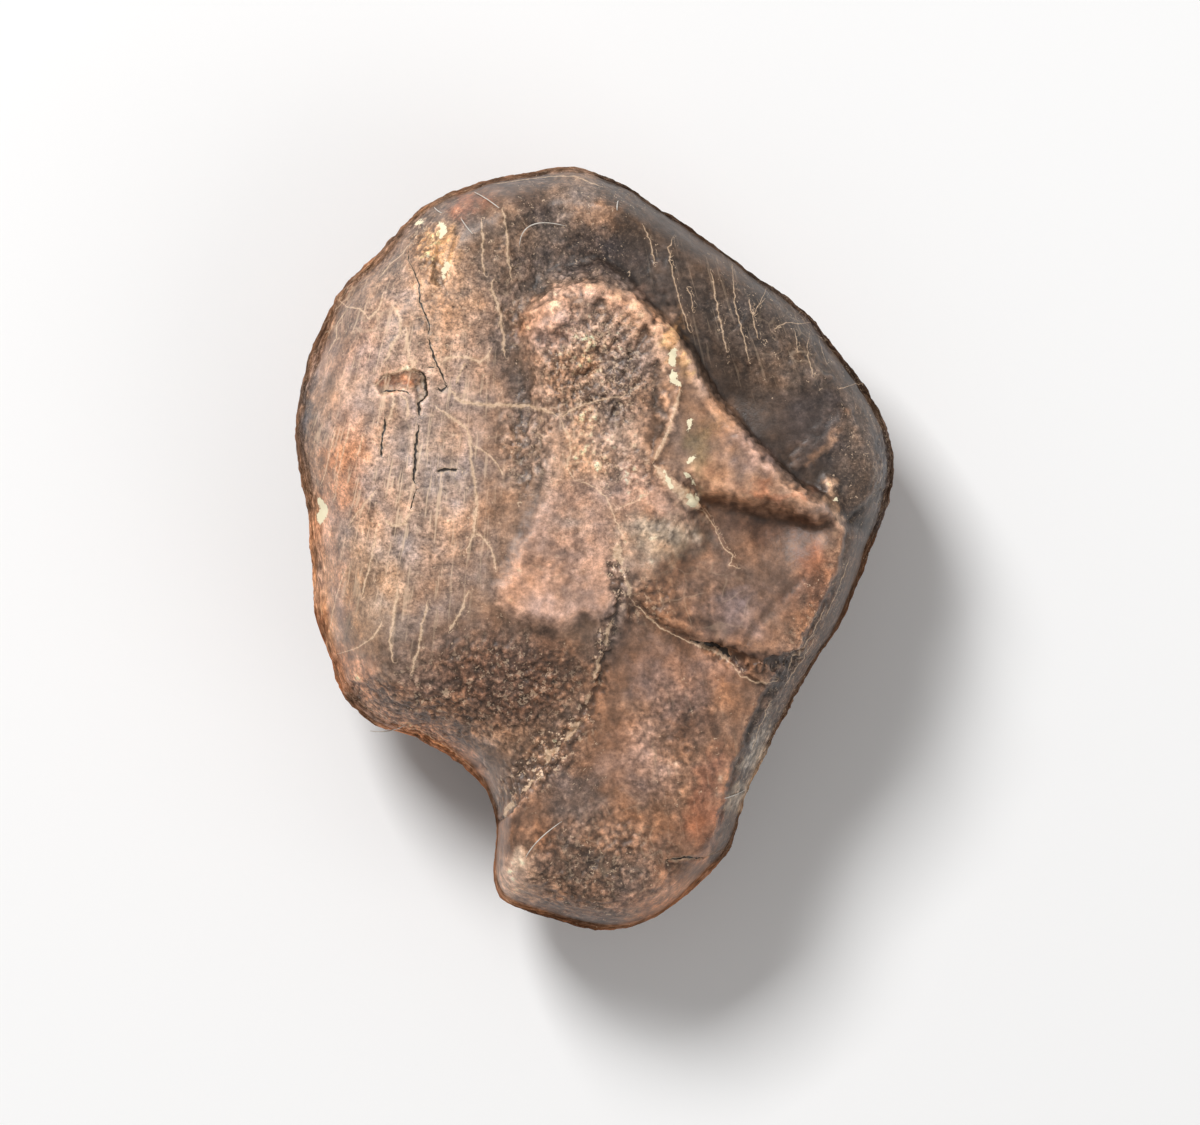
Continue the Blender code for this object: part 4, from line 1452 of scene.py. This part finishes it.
class Effects:
    """The shared surface effects, each one a node group that is built once."""

    def __init__(self) -> None:
        """Builds the groups."""
        self.mottle = self._mottle()
        self.flecks = self._flecks()
        self.crackle = self._crackle()
        self.striae = self._striae()
        self.stroke = self._stroke()

    def _start(self, name: str, inputs: dict[str, float | None], outputs: tuple) -> tuple:
        """Starts a group: its graph, its inputs' sockets and its output node."""
        tree = bpy.data.node_groups.new(name, "ShaderNodeTree")
        for label, value in inputs.items():
            kind = "NodeSocketVector" if value is None else "NodeSocketFloat"
            socket = tree.interface.new_socket(name=label, in_out="INPUT", socket_type=kind)
            if value is not None:
                socket.default_value = value
        for label in outputs:
            tree.interface.new_socket(name=label, in_out="OUTPUT", socket_type="NodeSocketFloat")
        entry = tree.nodes.new("NodeGroupInput")
        return Graph(tree), entry.outputs, tree.nodes.new("NodeGroupOutput")

    def _mottle(self) -> bpy.types.NodeTree:
        """Cloudy patches: a factor round 1, and the noise behind it."""
        inputs = {"Place": None, "Size": 1.0, "Contrast": 0.2, "Detail": 3.0}
        graph, given, out = self._start("mottle", inputs, ("Factor", "Noise"))
        noise = graph.noise(given["Place"], graph.math("DIVIDE", 1.0, given["Size"]), given["Detail"], 0.6)
        graph.feed(out.inputs["Factor"], graph.swing(noise, graph.times(given["Contrast"], 4.0), 0.1))
        graph.feed(out.inputs["Noise"], noise)
        return graph.tree

    def _flecks(self) -> bpy.types.NodeTree:
        """Scattered small dots: how much of a dot there is, and a tone for each."""
        inputs = {"Place": None, "Spacing": 0.12, "Radius": 0.42}
        graph, given, out = self._start("flecks", inputs, ("Dot", "Tone"))
        per_mm = graph.math("DIVIDE", 1.0, given["Spacing"])
        dots = graph.node("TexVoronoi", {"Vector": given["Place"], "Scale": per_mm})
        core = graph.times(given["Radius"], 0.5)
        tone = graph.node("SeparateColor", {"Color": dots.outputs["Color"]}).outputs["Red"]
        graph.feed(out.inputs["Dot"], graph.ramp(dots.outputs["Distance"], core, given["Radius"], 1.0, 0.0))
        graph.feed(out.inputs["Tone"], tone)
        return graph.tree

    def _crackle(self) -> bpy.types.NodeTree:
        """A broken net of hairlines."""
        graph, given, out = self._start("crackle", {"Place": None, "Size": 0.85, "Width": 0.06}, ("Mask",))
        per_mm = graph.math("DIVIDE", 1.0, given["Size"])
        inputs = {"Vector": given["Place"], "Scale": per_mm}
        net = graph.node("TexVoronoi", inputs, feature="DISTANCE_TO_EDGE")
        line = graph.ramp(net.outputs["Distance"], 0.0, given["Width"], 1.0, 0.0)
        gate = graph.ramp(graph.noise(given["Place"], per_mm, 1.0), 0.38, 0.56, 0.0, 0.7)
        graph.feed(out.inputs["Mask"], graph.times(line, gate))
        return graph.tree

    def _striae(self) -> bpy.types.NodeTree:
        """Fine lines along the growth of the tooth."""
        graph, given, out = self._start("striae", {"Grain": None, "Spacing": 0.12}, ("Line", "Wave"))
        stretched = graph.scaled(given["Grain"], (1.0, 0.07, 0.1))
        wave = graph.noise(stretched, graph.math("DIVIDE", 1.0, given["Spacing"]), 2.0, 0.6)
        graph.feed(out.inputs["Line"], graph.ramp(wave, 0.585, 0.68))
        graph.feed(out.inputs["Wave"], wave)
        return graph.tree

    def _stroke(self) -> bpy.types.NodeTree:
        """A ragged line from its offsets in half widths, and a soft halo on both sides of it."""
        inputs = {"Near": 0.0, "Offset": 9.0, "Edge": 0.0}
        graph, given, out = self._start("stroke", inputs, ("Line", "Halo"))
        away = graph.math("ABSOLUTE", given["Offset"])
        inward = graph.math("SUBTRACT", 1.0, graph.times(away, 0.5))
        depth = graph.math("ADD", inward, given["Edge"])
        gate = graph.ramp(given["Near"], 0.1, 0.35)
        graph.feed(out.inputs["Line"], graph.times(graph.ramp(depth, 0.40, 0.62), gate))
        graph.feed(out.inputs["Halo"], graph.times(graph.ramp(away, 1.2, 3.0, 1.0, 0.0), gate))
        return graph.tree


def plain(tint: Tint) -> tuple:
    """A tint as a socket's colour."""
    return (*tint.linear, 1.0)


def start_material(name: str) -> tuple[bpy.types.Material, Graph, bpy.types.Node]:
    """Starts a material: the material, its graph and its shader."""
    material = bpy.data.materials.new(name)
    material.use_nodes = True
    return material, Graph(material.node_tree), material.node_tree.nodes["Principled BSDF"]


@dataclass(frozen=True)
class FloorFinish:
    """Pale matt card."""

    colour: tuple = (0.92, 0.92, 0.92, 1.0)
    roughness: float = 0.9

    def material(self) -> bpy.types.Material:
        """Makes the material."""
        material, _, shader = start_material("floor card")
        shader.inputs["Base Color"].default_value = self.colour
        shader.inputs["Roughness"].default_value = self.roughness
        return material


@dataclass(frozen=True)
class FossilFinish:
    """Mineral-stained dentine and enamel: gritty, flecked, veined and partly polished, with painted glints,
    and painted shade between crystals and crumbs and in cracks.

    Sizes and spacings are in millimetres, and bands are the values between which an effect sets in.
    """

    # Nearly black painted shade inside the open cracks
    void: tuple = (0.030, 0.020, 0.014, 1.0)
    crust: tuple = (0.93, 0.83, 0.58, 1.0)
    # A pale colour for veins and crumbs, and for the painted glints
    pale_and_glint: tuple = (0.95, 0.69, 0.47, 1.0)
    lightness: float = 0.62
    grit_size: float = 0.11
    grit: float = 2.52
    even_grit: float = 1.44
    darkest_grit: float = 0.15
    mottle_size: float = 0.28
    mottle: float = 0.26
    layer_stretch: tuple = (0.4, 0.4, 3.0)
    layers: float = 2.2
    darkest_layer: float = 0.3
    # Painted glints where crystal faces catch the light, and painted shade between the crystals
    gritty_glints: float = 0.45
    glint_band: tuple = (0.57, 0.68)
    glints: float = 0.75
    pore_shade_band: tuple = (0.34, 0.45)
    pore_shade: float = 0.7
    stir_scale: float = 9.0
    stir: float = 0.42
    crumb_spacing: float = 0.24
    crumb_radius: float = 0.5
    crystal_crumbs: float = 0.55
    # Painted shade between the crumbs, and pale lumps that in the crystals are painted glints
    gaps: float = 0.7
    lump_band: tuple = (0.48, 0.70)
    lumps: float = 0.9
    lump_glint: float = 0.7
    # Painted glints: small bright flecks
    fleck_spacing: float = 0.13
    fleck_share: float = 0.26
    flecks: float = 0.8
    stria_spacing: float = 0.12
    striae: float = 0.8
    hairlines: float = 0.7
    raggedness: float = 1.2
    vein_band: tuple = (0.35, 0.6)
    vein_paleness: float = 0.4
    vein_purity: float = 0.32
    vein_halo: float = 0.22
    crust_band: tuple = (0.35, 0.5)
    crack_halo: float = 0.45
    roughness: float = 0.29
    grit_roughness: float = 0.3
    pit_roughness: float = 0.1
    crust_roughness: float = 0.3
    side_roughness: float = 0.25
    enamel_roughness: float = 0.30
    specular: float = 0.45
    side_specular: float = 0.0
    groove_height: float = 0.5
    bump: float = 0.6
    bump_depth: float = 0.02

    def material(self, effects: Effects) -> bpy.types.Material:
        """Makes the material, which reads the fields that the tooth's mesh holds."""
        material, graph, shader = start_material("fossil")
        paint = FossilPaint(self, graph, effects)
        for step in (
            paint.tones, paint.crystals, paint.crumbs, paint.flecks, paint.striae, paint.hairlines,
            paint.veins, paint.crusts, paint.cracks,
        ):
            step()
        graph.feed(shader.inputs["Base Color"], paint.colour)
        graph.feed(shader.inputs["Roughness"], paint.roughness())
        gloss = graph.ramp(paint.has["side"], 0.0, 0.5, self.specular, self.side_specular)
        graph.feed(shader.inputs["Specular IOR Level"], gloss)
        inputs = {"Strength": self.bump, "Distance": self.bump_depth * MM, "Height": paint.height()}
        graph.feed(shader.inputs["Normal"], graph.node("Bump", inputs).outputs["Normal"])
        return material


class FossilPaint:
    """The fossil's colour, laid step by step, with painted glints and painted shade between crystals and
    crumbs and in cracks, and the fine grain that goes with it.
    """

    FIELDS = ("sugar", "pitted", "crumbly", "grooved", "veined", "gritty", "crusted", "enamel", "side")

    def __init__(self, finish: FossilFinish, graph: Graph, effects: Effects) -> None:
        """Starts from the mesh's stains with their painted light and shade, and makes what several steps
        use.
        """
        self.finish, self.graph, self.effects = finish, graph, effects
        self.place = graph.place()
        self.has = {name: graph.field(name) for name in self.FIELDS}
        self.colour = graph.node("Attribute", attribute_name="stain_and_painted_light").outputs["Color"]
        # A pale tone for pale lines and crumbs, and for the painted glints and flecks
        self.light = graph.mix(finish.lightness, self.colour, finish.pale_and_glint)
        self.grit = graph.noise(self.place, 1 / finish.grit_size, 3.0, 0.8)
        # Where painted glints go: the gritty and crystalline parts
        gritty = graph.times(self.has["gritty"], finish.gritty_glints)
        self.glinting = graph.math("MAXIMUM", gritty, self.has["sugar"])
        stir = graph.node("TexNoise", {"Vector": self.place, "Scale": finish.stir_scale, "Detail": 1.0})
        inputs = {0: stir.outputs["Color"], 1: (finish.stir,) * 3, 2: self.place}
        self.stirred = graph.node("VectorMath", inputs, operation="MULTIPLY_ADD").outputs[0]
        inputs = {"Grain": self.vector("grain"), "Spacing": finish.stria_spacing}
        self.growth = graph.group(effects.striae, inputs)
        self.edge = graph.times(graph.math("SUBTRACT", self.grit, 0.5), finish.raggedness)
        crusted = graph.math("ADD", self.has["crusted"], self.edge)
        self.crust = graph.ramp(crusted, *finish.crust_band)

    def vector(self, name: str) -> Socket:
        """A vector that the mesh holds at each point."""
        return self.graph.node("Attribute", attribute_name=name).outputs["Vector"]

    def shade(self, factor: Feed) -> None:
        """Multiplies the colour."""
        self.colour = self.graph.mix(1.0, self.colour, factor, "MULTIPLY")

    def lay(self, colour: Feed, *shares: Feed) -> None:
        """Lays a colour over this one, as strongly as the product of some shares."""
        self.colour = self.graph.mix(self.graph.times(*shares), self.colour, colour)

    def stroke(self, name: str, edge: Feed) -> bpy.types.NodeOutputs:
        """The mask and the halo of the veins or the cracks."""
        near, offset = self.graph.field(name), self.graph.field(name + "_offset")
        inputs = {"Near": near, "Offset": offset, "Edge": edge}
        return self.graph.group(self.effects.stroke, inputs).outputs

    def tones(self) -> None:
        """Grit, soft clouds, and layers on the sides."""
        finish, graph = self.finish, self.graph
        reach = graph.math("ADD", graph.times(self.has["gritty"], finish.grit), finish.even_grit)
        self.shade(graph.swing(self.grit, reach, finish.darkest_grit))
        inputs = {"Place": self.place, "Size": finish.mottle_size, "Contrast": finish.mottle, "Detail": 4.0}
        self.shade(graph.group(self.effects.mottle, inputs).outputs["Factor"])
        layers = graph.noise(graph.scaled(self.place, finish.layer_stretch), 2.0, 4.0, 0.7)
        self.shade(graph.swing(layers, graph.times(self.has["side"], finish.layers), finish.darkest_layer))

    def crystals(self) -> None:
        """Painted glints on the crystals' faces, and painted shade in the small holes between them."""
        finish, graph = self.finish, self.graph
        self.lay(self.light, graph.ramp(self.grit, *finish.glint_band), self.glinting, finish.glints)
        pore_shade = graph.ramp(self.grit, *finish.pore_shade_band, 1.0, 0.0)
        self.lay(plain(Tint.BISTRE), pore_shade, self.has["sugar"], finish.pore_shade)

    def crumbs(self) -> None:
        """Pale loose crumbs, which in the crystals also stand for painted glints, with painted shade in the
        spaces round them.
        """
        finish, graph = self.finish, self.graph
        crystals = graph.times(self.has["sugar"], finish.crystal_crumbs)
        loose = graph.math("MAXIMUM", self.has["crumbly"], crystals)
        inputs = {"Place": self.stirred, "Spacing": finish.crumb_spacing, "Radius": finish.crumb_radius}
        crumb = graph.group(self.effects.flecks, inputs).outputs
        # Painted shade between the crumbs
        self.lay(plain(Tint.BISTRE), graph.math("SUBTRACT", 1.0, crumb["Dot"]), loose, finish.gaps)
        lumps = graph.ramp(crumb["Tone"], *finish.lump_band)
        pale = graph.mix(finish.lump_glint, self.light, finish.pale_and_glint)
        self.lay(pale, lumps, crumb["Dot"], loose, finish.lumps)

    def flecks(self) -> None:
        """Painted glints: small bright flecks, scattered."""
        finish, graph = self.finish, self.graph
        inputs = {"Place": self.stirred, "Spacing": finish.fleck_spacing}
        fleck = graph.group(self.effects.flecks, inputs).outputs
        lit = graph.math("LESS_THAN", fleck["Tone"], graph.times(self.glinting, finish.fleck_share))
        self.lay(self.light, lit, fleck["Dot"], finish.flecks)

    def striae(self) -> None:
        """Fine pale growth lines, but not on the sides."""
        flat = self.graph.math("SUBTRACT", 1.0, self.has["side"])
        self.lay(self.light, self.growth.outputs["Line"], self.has["grooved"], flat, self.finish.striae)

    def hairlines(self) -> None:
        """A broken net of pale hairlines."""
        net = self.graph.group(self.effects.crackle, {"Place": self.vector("bent")})
        self.lay(self.light, net.outputs["Mask"], self.has["veined"], self.finish.hairlines)

    def veins(self) -> None:
        """The pale veins, dimmer where the stone is dark."""
        finish, graph = self.finish, self.graph
        pure = graph.mix(graph.ramp(self.grit, *finish.vein_band), plain(Tint.AMBER), finish.pale_and_glint)
        stained = graph.mix(finish.vein_paleness, self.colour, finish.pale_and_glint)
        tone = graph.mix(finish.vein_purity, stained, pure)
        vein = self.stroke("vein", self.edge)
        self.lay(tone, vein["Halo"], finish.vein_halo)
        self.lay(tone, vein["Line"])

    def crusts(self) -> None:
        """Cream crusts."""
        self.lay(self.finish.crust, self.crust)

    def cracks(self) -> None:
        """The open cracks: painted shade, nearly black, along their middles, with pale edges."""
        crack = self.stroke("crack", self.graph.times(self.edge, 0.5))
        self.lay(self.light, crack["Halo"], self.finish.crack_halo)
        self.lay(self.finish.void, crack["Line"])

    def roughness(self) -> Socket:
        """The roughness: more on grit, pits, crusts and sides, and less on the waxy back."""
        finish, graph, has = self.finish, self.graph, self.has
        total = finish.roughness
        for amount, reach in (
            (self.grit, finish.grit_roughness), (has["pitted"], finish.pit_roughness),
            (self.crust, finish.crust_roughness), (has["side"], finish.side_roughness),
        ):
            total = graph.math("ADD", total, graph.times(amount, reach))
        return graph.ramp(has["enamel"], 0.0, 1.0, total, finish.enamel_roughness)

    def height(self) -> Socket:
        """The height of the grain that is too fine for the net."""
        wave = self.growth.outputs["Wave"]
        grooves = self.graph.times(wave, self.has["grooved"], self.finish.groove_height)
        return self.graph.math("ADD", self.grit, grooves)


@dataclass(frozen=True)
class LintFinish:
    """Pale grey-brown textile fibre. The size is in millimetres."""

    pale: tuple = (0.90, 0.86, 0.80, 1.0)
    mottle_size: float = 0.2
    roughness: float = 0.55

    def material(self, effects: Effects) -> bpy.types.Material:
        """Makes the material."""
        material, graph, shader = start_material("lint")
        tone = graph.group(effects.mottle, {"Place": graph.place(), "Size": self.mottle_size})
        colour = graph.mix(tone.outputs["Noise"], plain(Tint.PUTTY), self.pale)
        graph.feed(shader.inputs["Base Color"], colour)
        shader.inputs["Roughness"].default_value = self.roughness
        return material


@dataclass
class FossilTooth:
    """The fossil itself, crown and root stump in one piece. The spacings are the net's longest edges."""

    form: ToothForm
    markings: Markings
    relief: Relief
    patina_and_shade: PatinaAndShade
    back_stain: BackStain
    first_cuts: int = 34
    most_rounds: int = 7
    face_spacing: float = 0.152 * MM
    side_spacing: float = 0.26 * MM
    back_spacing: float = 0.46 * MM
    texture_spacing: float = 0.105 * MM
    line_spacing: float = 0.095 * MM
    onset: float = 1.6
    line_onset: float = 3.0
    fine_pits: float = 0.3
    fine_lines: float = 0.3
    least_facing: float = 0.12
    steepness: float = 3.0
    fan_px: tuple = (540.0, -300.0)
    fan_reach_px: float = 800.0
    bend: float = 0.16
    bend_size: float = 0.8
    dull_side: tuple = (0.25, 0.6)
    face_disc: tuple = (0.37, 0.36)
    back_disc: tuple = (0.79, 0.20)

    def pixels(self, points: Array) -> tuple[Array, Array]:
        """Where the photograph's frame has the points, seen from straight above."""
        return points[:, 0] / PX + POLE_PX[0], POLE_PX[1] - points[:, 1] / PX

    def facing(self, rim_part: Array) -> Array:
        """How squarely the skin faces the camera, from the least that is counted to 1."""
        level = 1 - rim_part
        slope = self.steepness * np.sqrt(1 - level**2) / np.maximum(level, 0.01)
        return np.maximum(1 / np.hypot(1, slope), self.least_facing)

    def marks(self, patch: Patch) -> dict[str, Array]:
        """The face's markings at each point, by name. They fade to 0 on the back, next to the rim."""
        faded = 1 - patch.back()
        seen = faded > 0
        u, v = self.pixels(patch.points[seen])
        facing = self.facing(patch.rim_part[seen])
        shown = {"fold": self.markings.folds(u, v), "crack_depth": self.markings.crack_depths(u, v, facing)}
        veins = [line for lines in VEINS.values() for line in lines]
        for name, table in (("vein", veins), ("crack", [row[-2:] for row in CRACKS])):
            shown[name], shown[name + "_offset"] = self.markings.lines(u, v, facing, table)
        shown.update(self.markings.textures(u, v))
        every = {name: np.zeros(len(seen)) for name in shown}
        for name, values in shown.items():
            every[name][seen] = values if name.endswith("_offset") else values * faded[seen]
        return every

    def longest(self, patch: Patch) -> Array:
        """The longest edge that the net may have at each point."""
        marks = self.marks(patch)
        spacing = self.face_spacing + (self.side_spacing - self.face_spacing) * patch.side()
        pitted = marks["pitted"] - self.fine_pits
        textured = ease(np.maximum(marks["sugar"], np.maximum(pitted, marks["crumbly"])) * self.onset)
        spacing += (self.texture_spacing - spacing) * textured
        lined = ease((np.maximum(marks["vein"], marks["crack"]) - self.fine_lines) * self.line_onset)
        spacing += (self.line_spacing - spacing) * lined
        return spacing + (self.back_spacing - spacing) * patch.back()

    def skin(self) -> tuple[SkinNet, Patch]:
        """The net, fine where there is detail, and its points before the fine relief."""
        net = SkinNet.even(self.first_cuts)
        patch = self.form.place(net.ball)
        longest = self.longest(patch)
        for _ in range(self.most_rounds):
            def excess(ends: Array) -> Array:
                """Each edge's length over the longest that it may have."""
                lengths = np.linalg.norm(patch.points[ends[:, 0]] - patch.points[ends[:, 1]], axis=1)
                return 2 * lengths / (longest[ends[:, 0]] + longest[ends[:, 1]])
            if not net.split(excess):
                break
            fresh = self.form.place(net.ball[len(longest):])
            longest = np.concatenate((longest, self.longest(fresh)))
            patch = patch.joined(fresh)
            LOG.info("net: %d triangles", len(net.triangles))
        return net, patch

    def fitted(self, points: Array) -> Array:
        """The points at the solid's real length, over the origin, and flat where they rest."""
        points = points.copy()
        low, high = points.min(axis=0), points.max(axis=0)
        points[:, :2] -= (low[:2] + high[:2]) / 2
        points *= TOOTH_LENGTH / (high[1] - low[1])
        points[:, 2] = np.maximum(points[:, 2], 0)
        return points

    def build(self) -> bpy.types.Object:
        """Makes the tooth's mesh, with the fields that its finish reads."""
        net, patch = self.skin()
        marks = self.marks(patch)
        height = self.relief.height(patch, marks)
        raised = patch.points + vertex_normals(patch.points, net.triangles) * height[:, None]
        mesh = bpy.data.meshes.new("fossil_tooth")
        mesh.from_pydata(self.fitted(raised).tolist(), [], net.triangles.tolist())
        mesh.shade_smooth()
        grain = self.grain(patch.points)
        colour = self.colour(net, patch, raised, grain, marks)
        dull = rise(patch.rim_part, *self.dull_side)
        fields = {**marks, "side": dull * (1 - patch.back()), "enamel": patch.back()}
        for name in fields.keys() - {"fold", "crack_depth"}:
            self.store(mesh, name, "FLOAT", "value", fields[name])
        self.store(mesh, "stain_and_painted_light", "FLOAT_COLOR", "color", np.column_stack((colour, np.ones(len(colour)))))
        self.store(mesh, "grain", "FLOAT_VECTOR", "vector", grain)
        self.store(mesh, "bent", "FLOAT_VECTOR", "vector", self.bent(patch.points))
        self.lay_out(mesh, net)
        tooth = bpy.data.objects.new("fossil_tooth", mesh)
        bpy.context.scene.collection.objects.link(tooth)
        return tooth

    def store(self, mesh: bpy.types.Mesh, name: str, kind: str, part: str, values: Array) -> None:
        """Stores a field on the mesh, one value for each point."""
        data = mesh.attributes.new(name, kind, "POINT").data
        data.foreach_set(part, values.astype(np.float32).ravel())

    def colour(self, net: SkinNet, patch: Patch, raised: Array, grain: Array, marks: dict) -> Array:
        """The stone's colour in linear light, with painted shade in dips and on the sides and painted
        highlights on raised edges.

        Args:
            net: The net.
            patch: Its points before the fine relief.
            raised: Its points after it.
            grain: Places across and along the growth lines.
            marks: The markings at each point, by name.

        Returns:
            One row for each point, from 0 to 1.
        """
        mm = patch.points / MM
        colour = self.markings.stain_and_painted_light(*self.pixels(patch.points))
        self.back_stain.lay(colour, mm, patch.back())
        dull = rise(patch.rim_part, *self.dull_side)
        # Weathered tones, with painted shade on the sides
        colour = self.patina_and_shade.weather_and_shade_sides(colour, mm, dull, grain, marks)
        normals = vertex_normals(raised, net.triangles)
        # Painted shade in hollows and painted highlights on raised edges
        return np.clip(colour * self.patina_and_shade.painted_shade_and_highlight(raised, net.edges()[0], normals), 0, 1)

    def lay_out(self, mesh: bpy.types.Mesh, net: SkinNet) -> None:
        """Gives the mesh a flat layout for baking: the face as a large disc, the back as a small one."""
        on_face = np.repeat(self.form.shares(net.ball[net.triangles].sum(axis=1) / 3)[1], 3)
        ball = net.ball[net.triangles.ravel()]
        share = self.form.shares(ball, on_face)[2][:, None]
        disc = np.where(on_face[:, None], self.face_disc, self.back_disc)
        around = ball[:, :2] / np.maximum(np.linalg.norm(ball[:, :2], axis=1, keepdims=True), 1e-9)
        spots = (disc[:, :1] + disc[:, 1:] * share * around).astype(np.float32)
        mesh.uv_layers.new(name="OFBake").data.foreach_set("uv", spots.ravel())

    def grain(self, points: Array) -> Array:
        """Places across and along the growth lines, which fan out from the tip, in millimetres."""
        u, v = self.pixels(points)
        du, dv = u - self.fan_px[0], v - self.fan_px[1]
        across = np.arctan2(du, dv) * self.fan_reach_px
        return np.stack((across * PX, np.hypot(du, dv) * PX, points[:, 2]), axis=1) / MM

    def bent(self, points: Array) -> Array:
        """Places in millimetres, bent about so that a net drawn over them gets crooked."""
        mm = points / MM
        noise = self.relief.noise
        shift = [noise.layered(mm / self.bend_size, 2, shift=90 * axis) for axis in range(3)]
        return mm + self.bend * np.stack(shift, axis=1)

    def dress(self, tooth: bpy.types.Object, effects: Effects) -> None:
        """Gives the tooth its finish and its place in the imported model."""
        tooth.data.materials.append(FossilFinish().material(effects))
        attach(tooth, "root")
        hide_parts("tooth")


@dataclass
class LintFibres:
    """The few lint fibres that lie on the tooth as dirt."""

    radius: float = 0.020 * MM
    end_radius: float = 0.55
    lift: float = 1.5
    sides: int = 6
    steps: int = 14
    rim_level: float = 4.5 * MM

    def path(self, points_px: Pixels, bow: float, skin: BVHTree) -> Array:
        """A smooth path over the tooth's face.

        Args:
            points_px: The pixels that the fibre runs through.
            bow: How high its middle stands above the face.
            skin: The tooth's skin.

        Returns:
            The path's points in metres.
        """
        given = (np.asarray(points_px, float) - MIDDLE_PX) * (PX, -PX)
        share = np.linspace(0, 1, len(given))
        fine = np.linspace(0, 1, self.steps)
        terms = min(2, len(given) - 1)
        curve = [np.polyval(np.polyfit(share, given[:, axis], terms), fine) for axis in range(2)]
        path = []
        level = self.rim_level
        for x, y, t in zip(*curve, fine):
            hit = skin.ray_cast(Vector((x, y, 1.0)), Vector((0, 0, -1)))[0]
            if hit:
                level = hit.z
            level += self.radius * self.lift + bow * 4 * t * (1 - t)
            path.append((x, y, level))
        path = np.array(path)
        path[1:-1, 2] = np.convolve(path[:, 2], (0.25, 0.5, 0.25), "valid")
        return path

    def build(self, tooth: bpy.types.Object) -> bpy.types.Object:
        """Makes all the fibres as one mesh of thin closed tubes."""
        skin = BVHTree.FromPolygons(
            [v.co for v in tooth.data.vertices], [p.vertices for p in tooth.data.polygons]
        )
        bm = bmesh.new()
        for _, bow, points_px in FIBRES:
            self.tube(bm, self.path(points_px, bow, skin))
        bmesh.ops.recalc_face_normals(bm, faces=bm.faces)
        mesh = bpy.data.meshes.new("lint_fibres")
        bm.to_mesh(mesh)
        bm.free()
        mesh.shade_smooth()
        fibres = bpy.data.objects.new("lint_fibres", mesh)
        bpy.context.scene.collection.objects.link(fibres)
        return fibres

    def tube(self, bm: bmesh.types.BMesh, path: Array) -> None:
        """Adds a thin tube along a path, with slimmer, closed ends."""
        rings = []
        turns = np.linspace(0, 2 * np.pi, self.sides, endpoint=False)
        along = np.gradient(path, axis=0)
        for place, way, t in zip(path, along, np.linspace(0, 1, len(path))):
            forward = Vector(way).normalized()
            right = forward.cross(Vector((0, 0, 1))).normalized()
            up = right.cross(forward)
            radius = self.radius * (self.end_radius + (1 - self.end_radius) * math.sin(math.pi * t))
            spokes = [right * math.cos(a) + up * math.sin(a) for a in turns]
            rings.append([bm.verts.new(Vector(place) + radius * spoke) for spoke in spokes])
        for first, second in zip(rings, rings[1:]):
            for i in range(self.sides):
                j = (i + 1) % self.sides
                bm.faces.new((first[i], first[j], second[j], second[i]))
        bm.faces.new(rings[0])
        bm.faces.new(rings[-1])

    def dress(self, fibres: bpy.types.Object, effects: Effects) -> None:
        """Gives the fibres their finish, and lets them ride on the tooth's body."""
        fibres.data.materials.append(LintFinish().material(effects))
        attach(fibres, "root")


def main() -> None:
    """Builds the tooth, its lint and the studio."""
    effects = Effects()
    tooth_maker = FossilTooth(ToothForm(), Markings(), Relief(), PatinaAndShade(), BackStain())
    tooth = tooth_maker.build()
    tooth_maker.dress(tooth, effects)
    LOG.info("%s: %d triangles", tooth.name, len(tooth.data.polygons))
    fibre_maker = LintFibres()
    fibres = fibre_maker.build(tooth)
    fibre_maker.dress(fibres, effects)
    LOG.info("%s: %d faces", fibres.name, len(fibres.data.polygons))
    Studio().build()


if __name__ == "__main__":
    logging.basicConfig(level=logging.INFO, format="%(name)s: %(message)s")
    main()
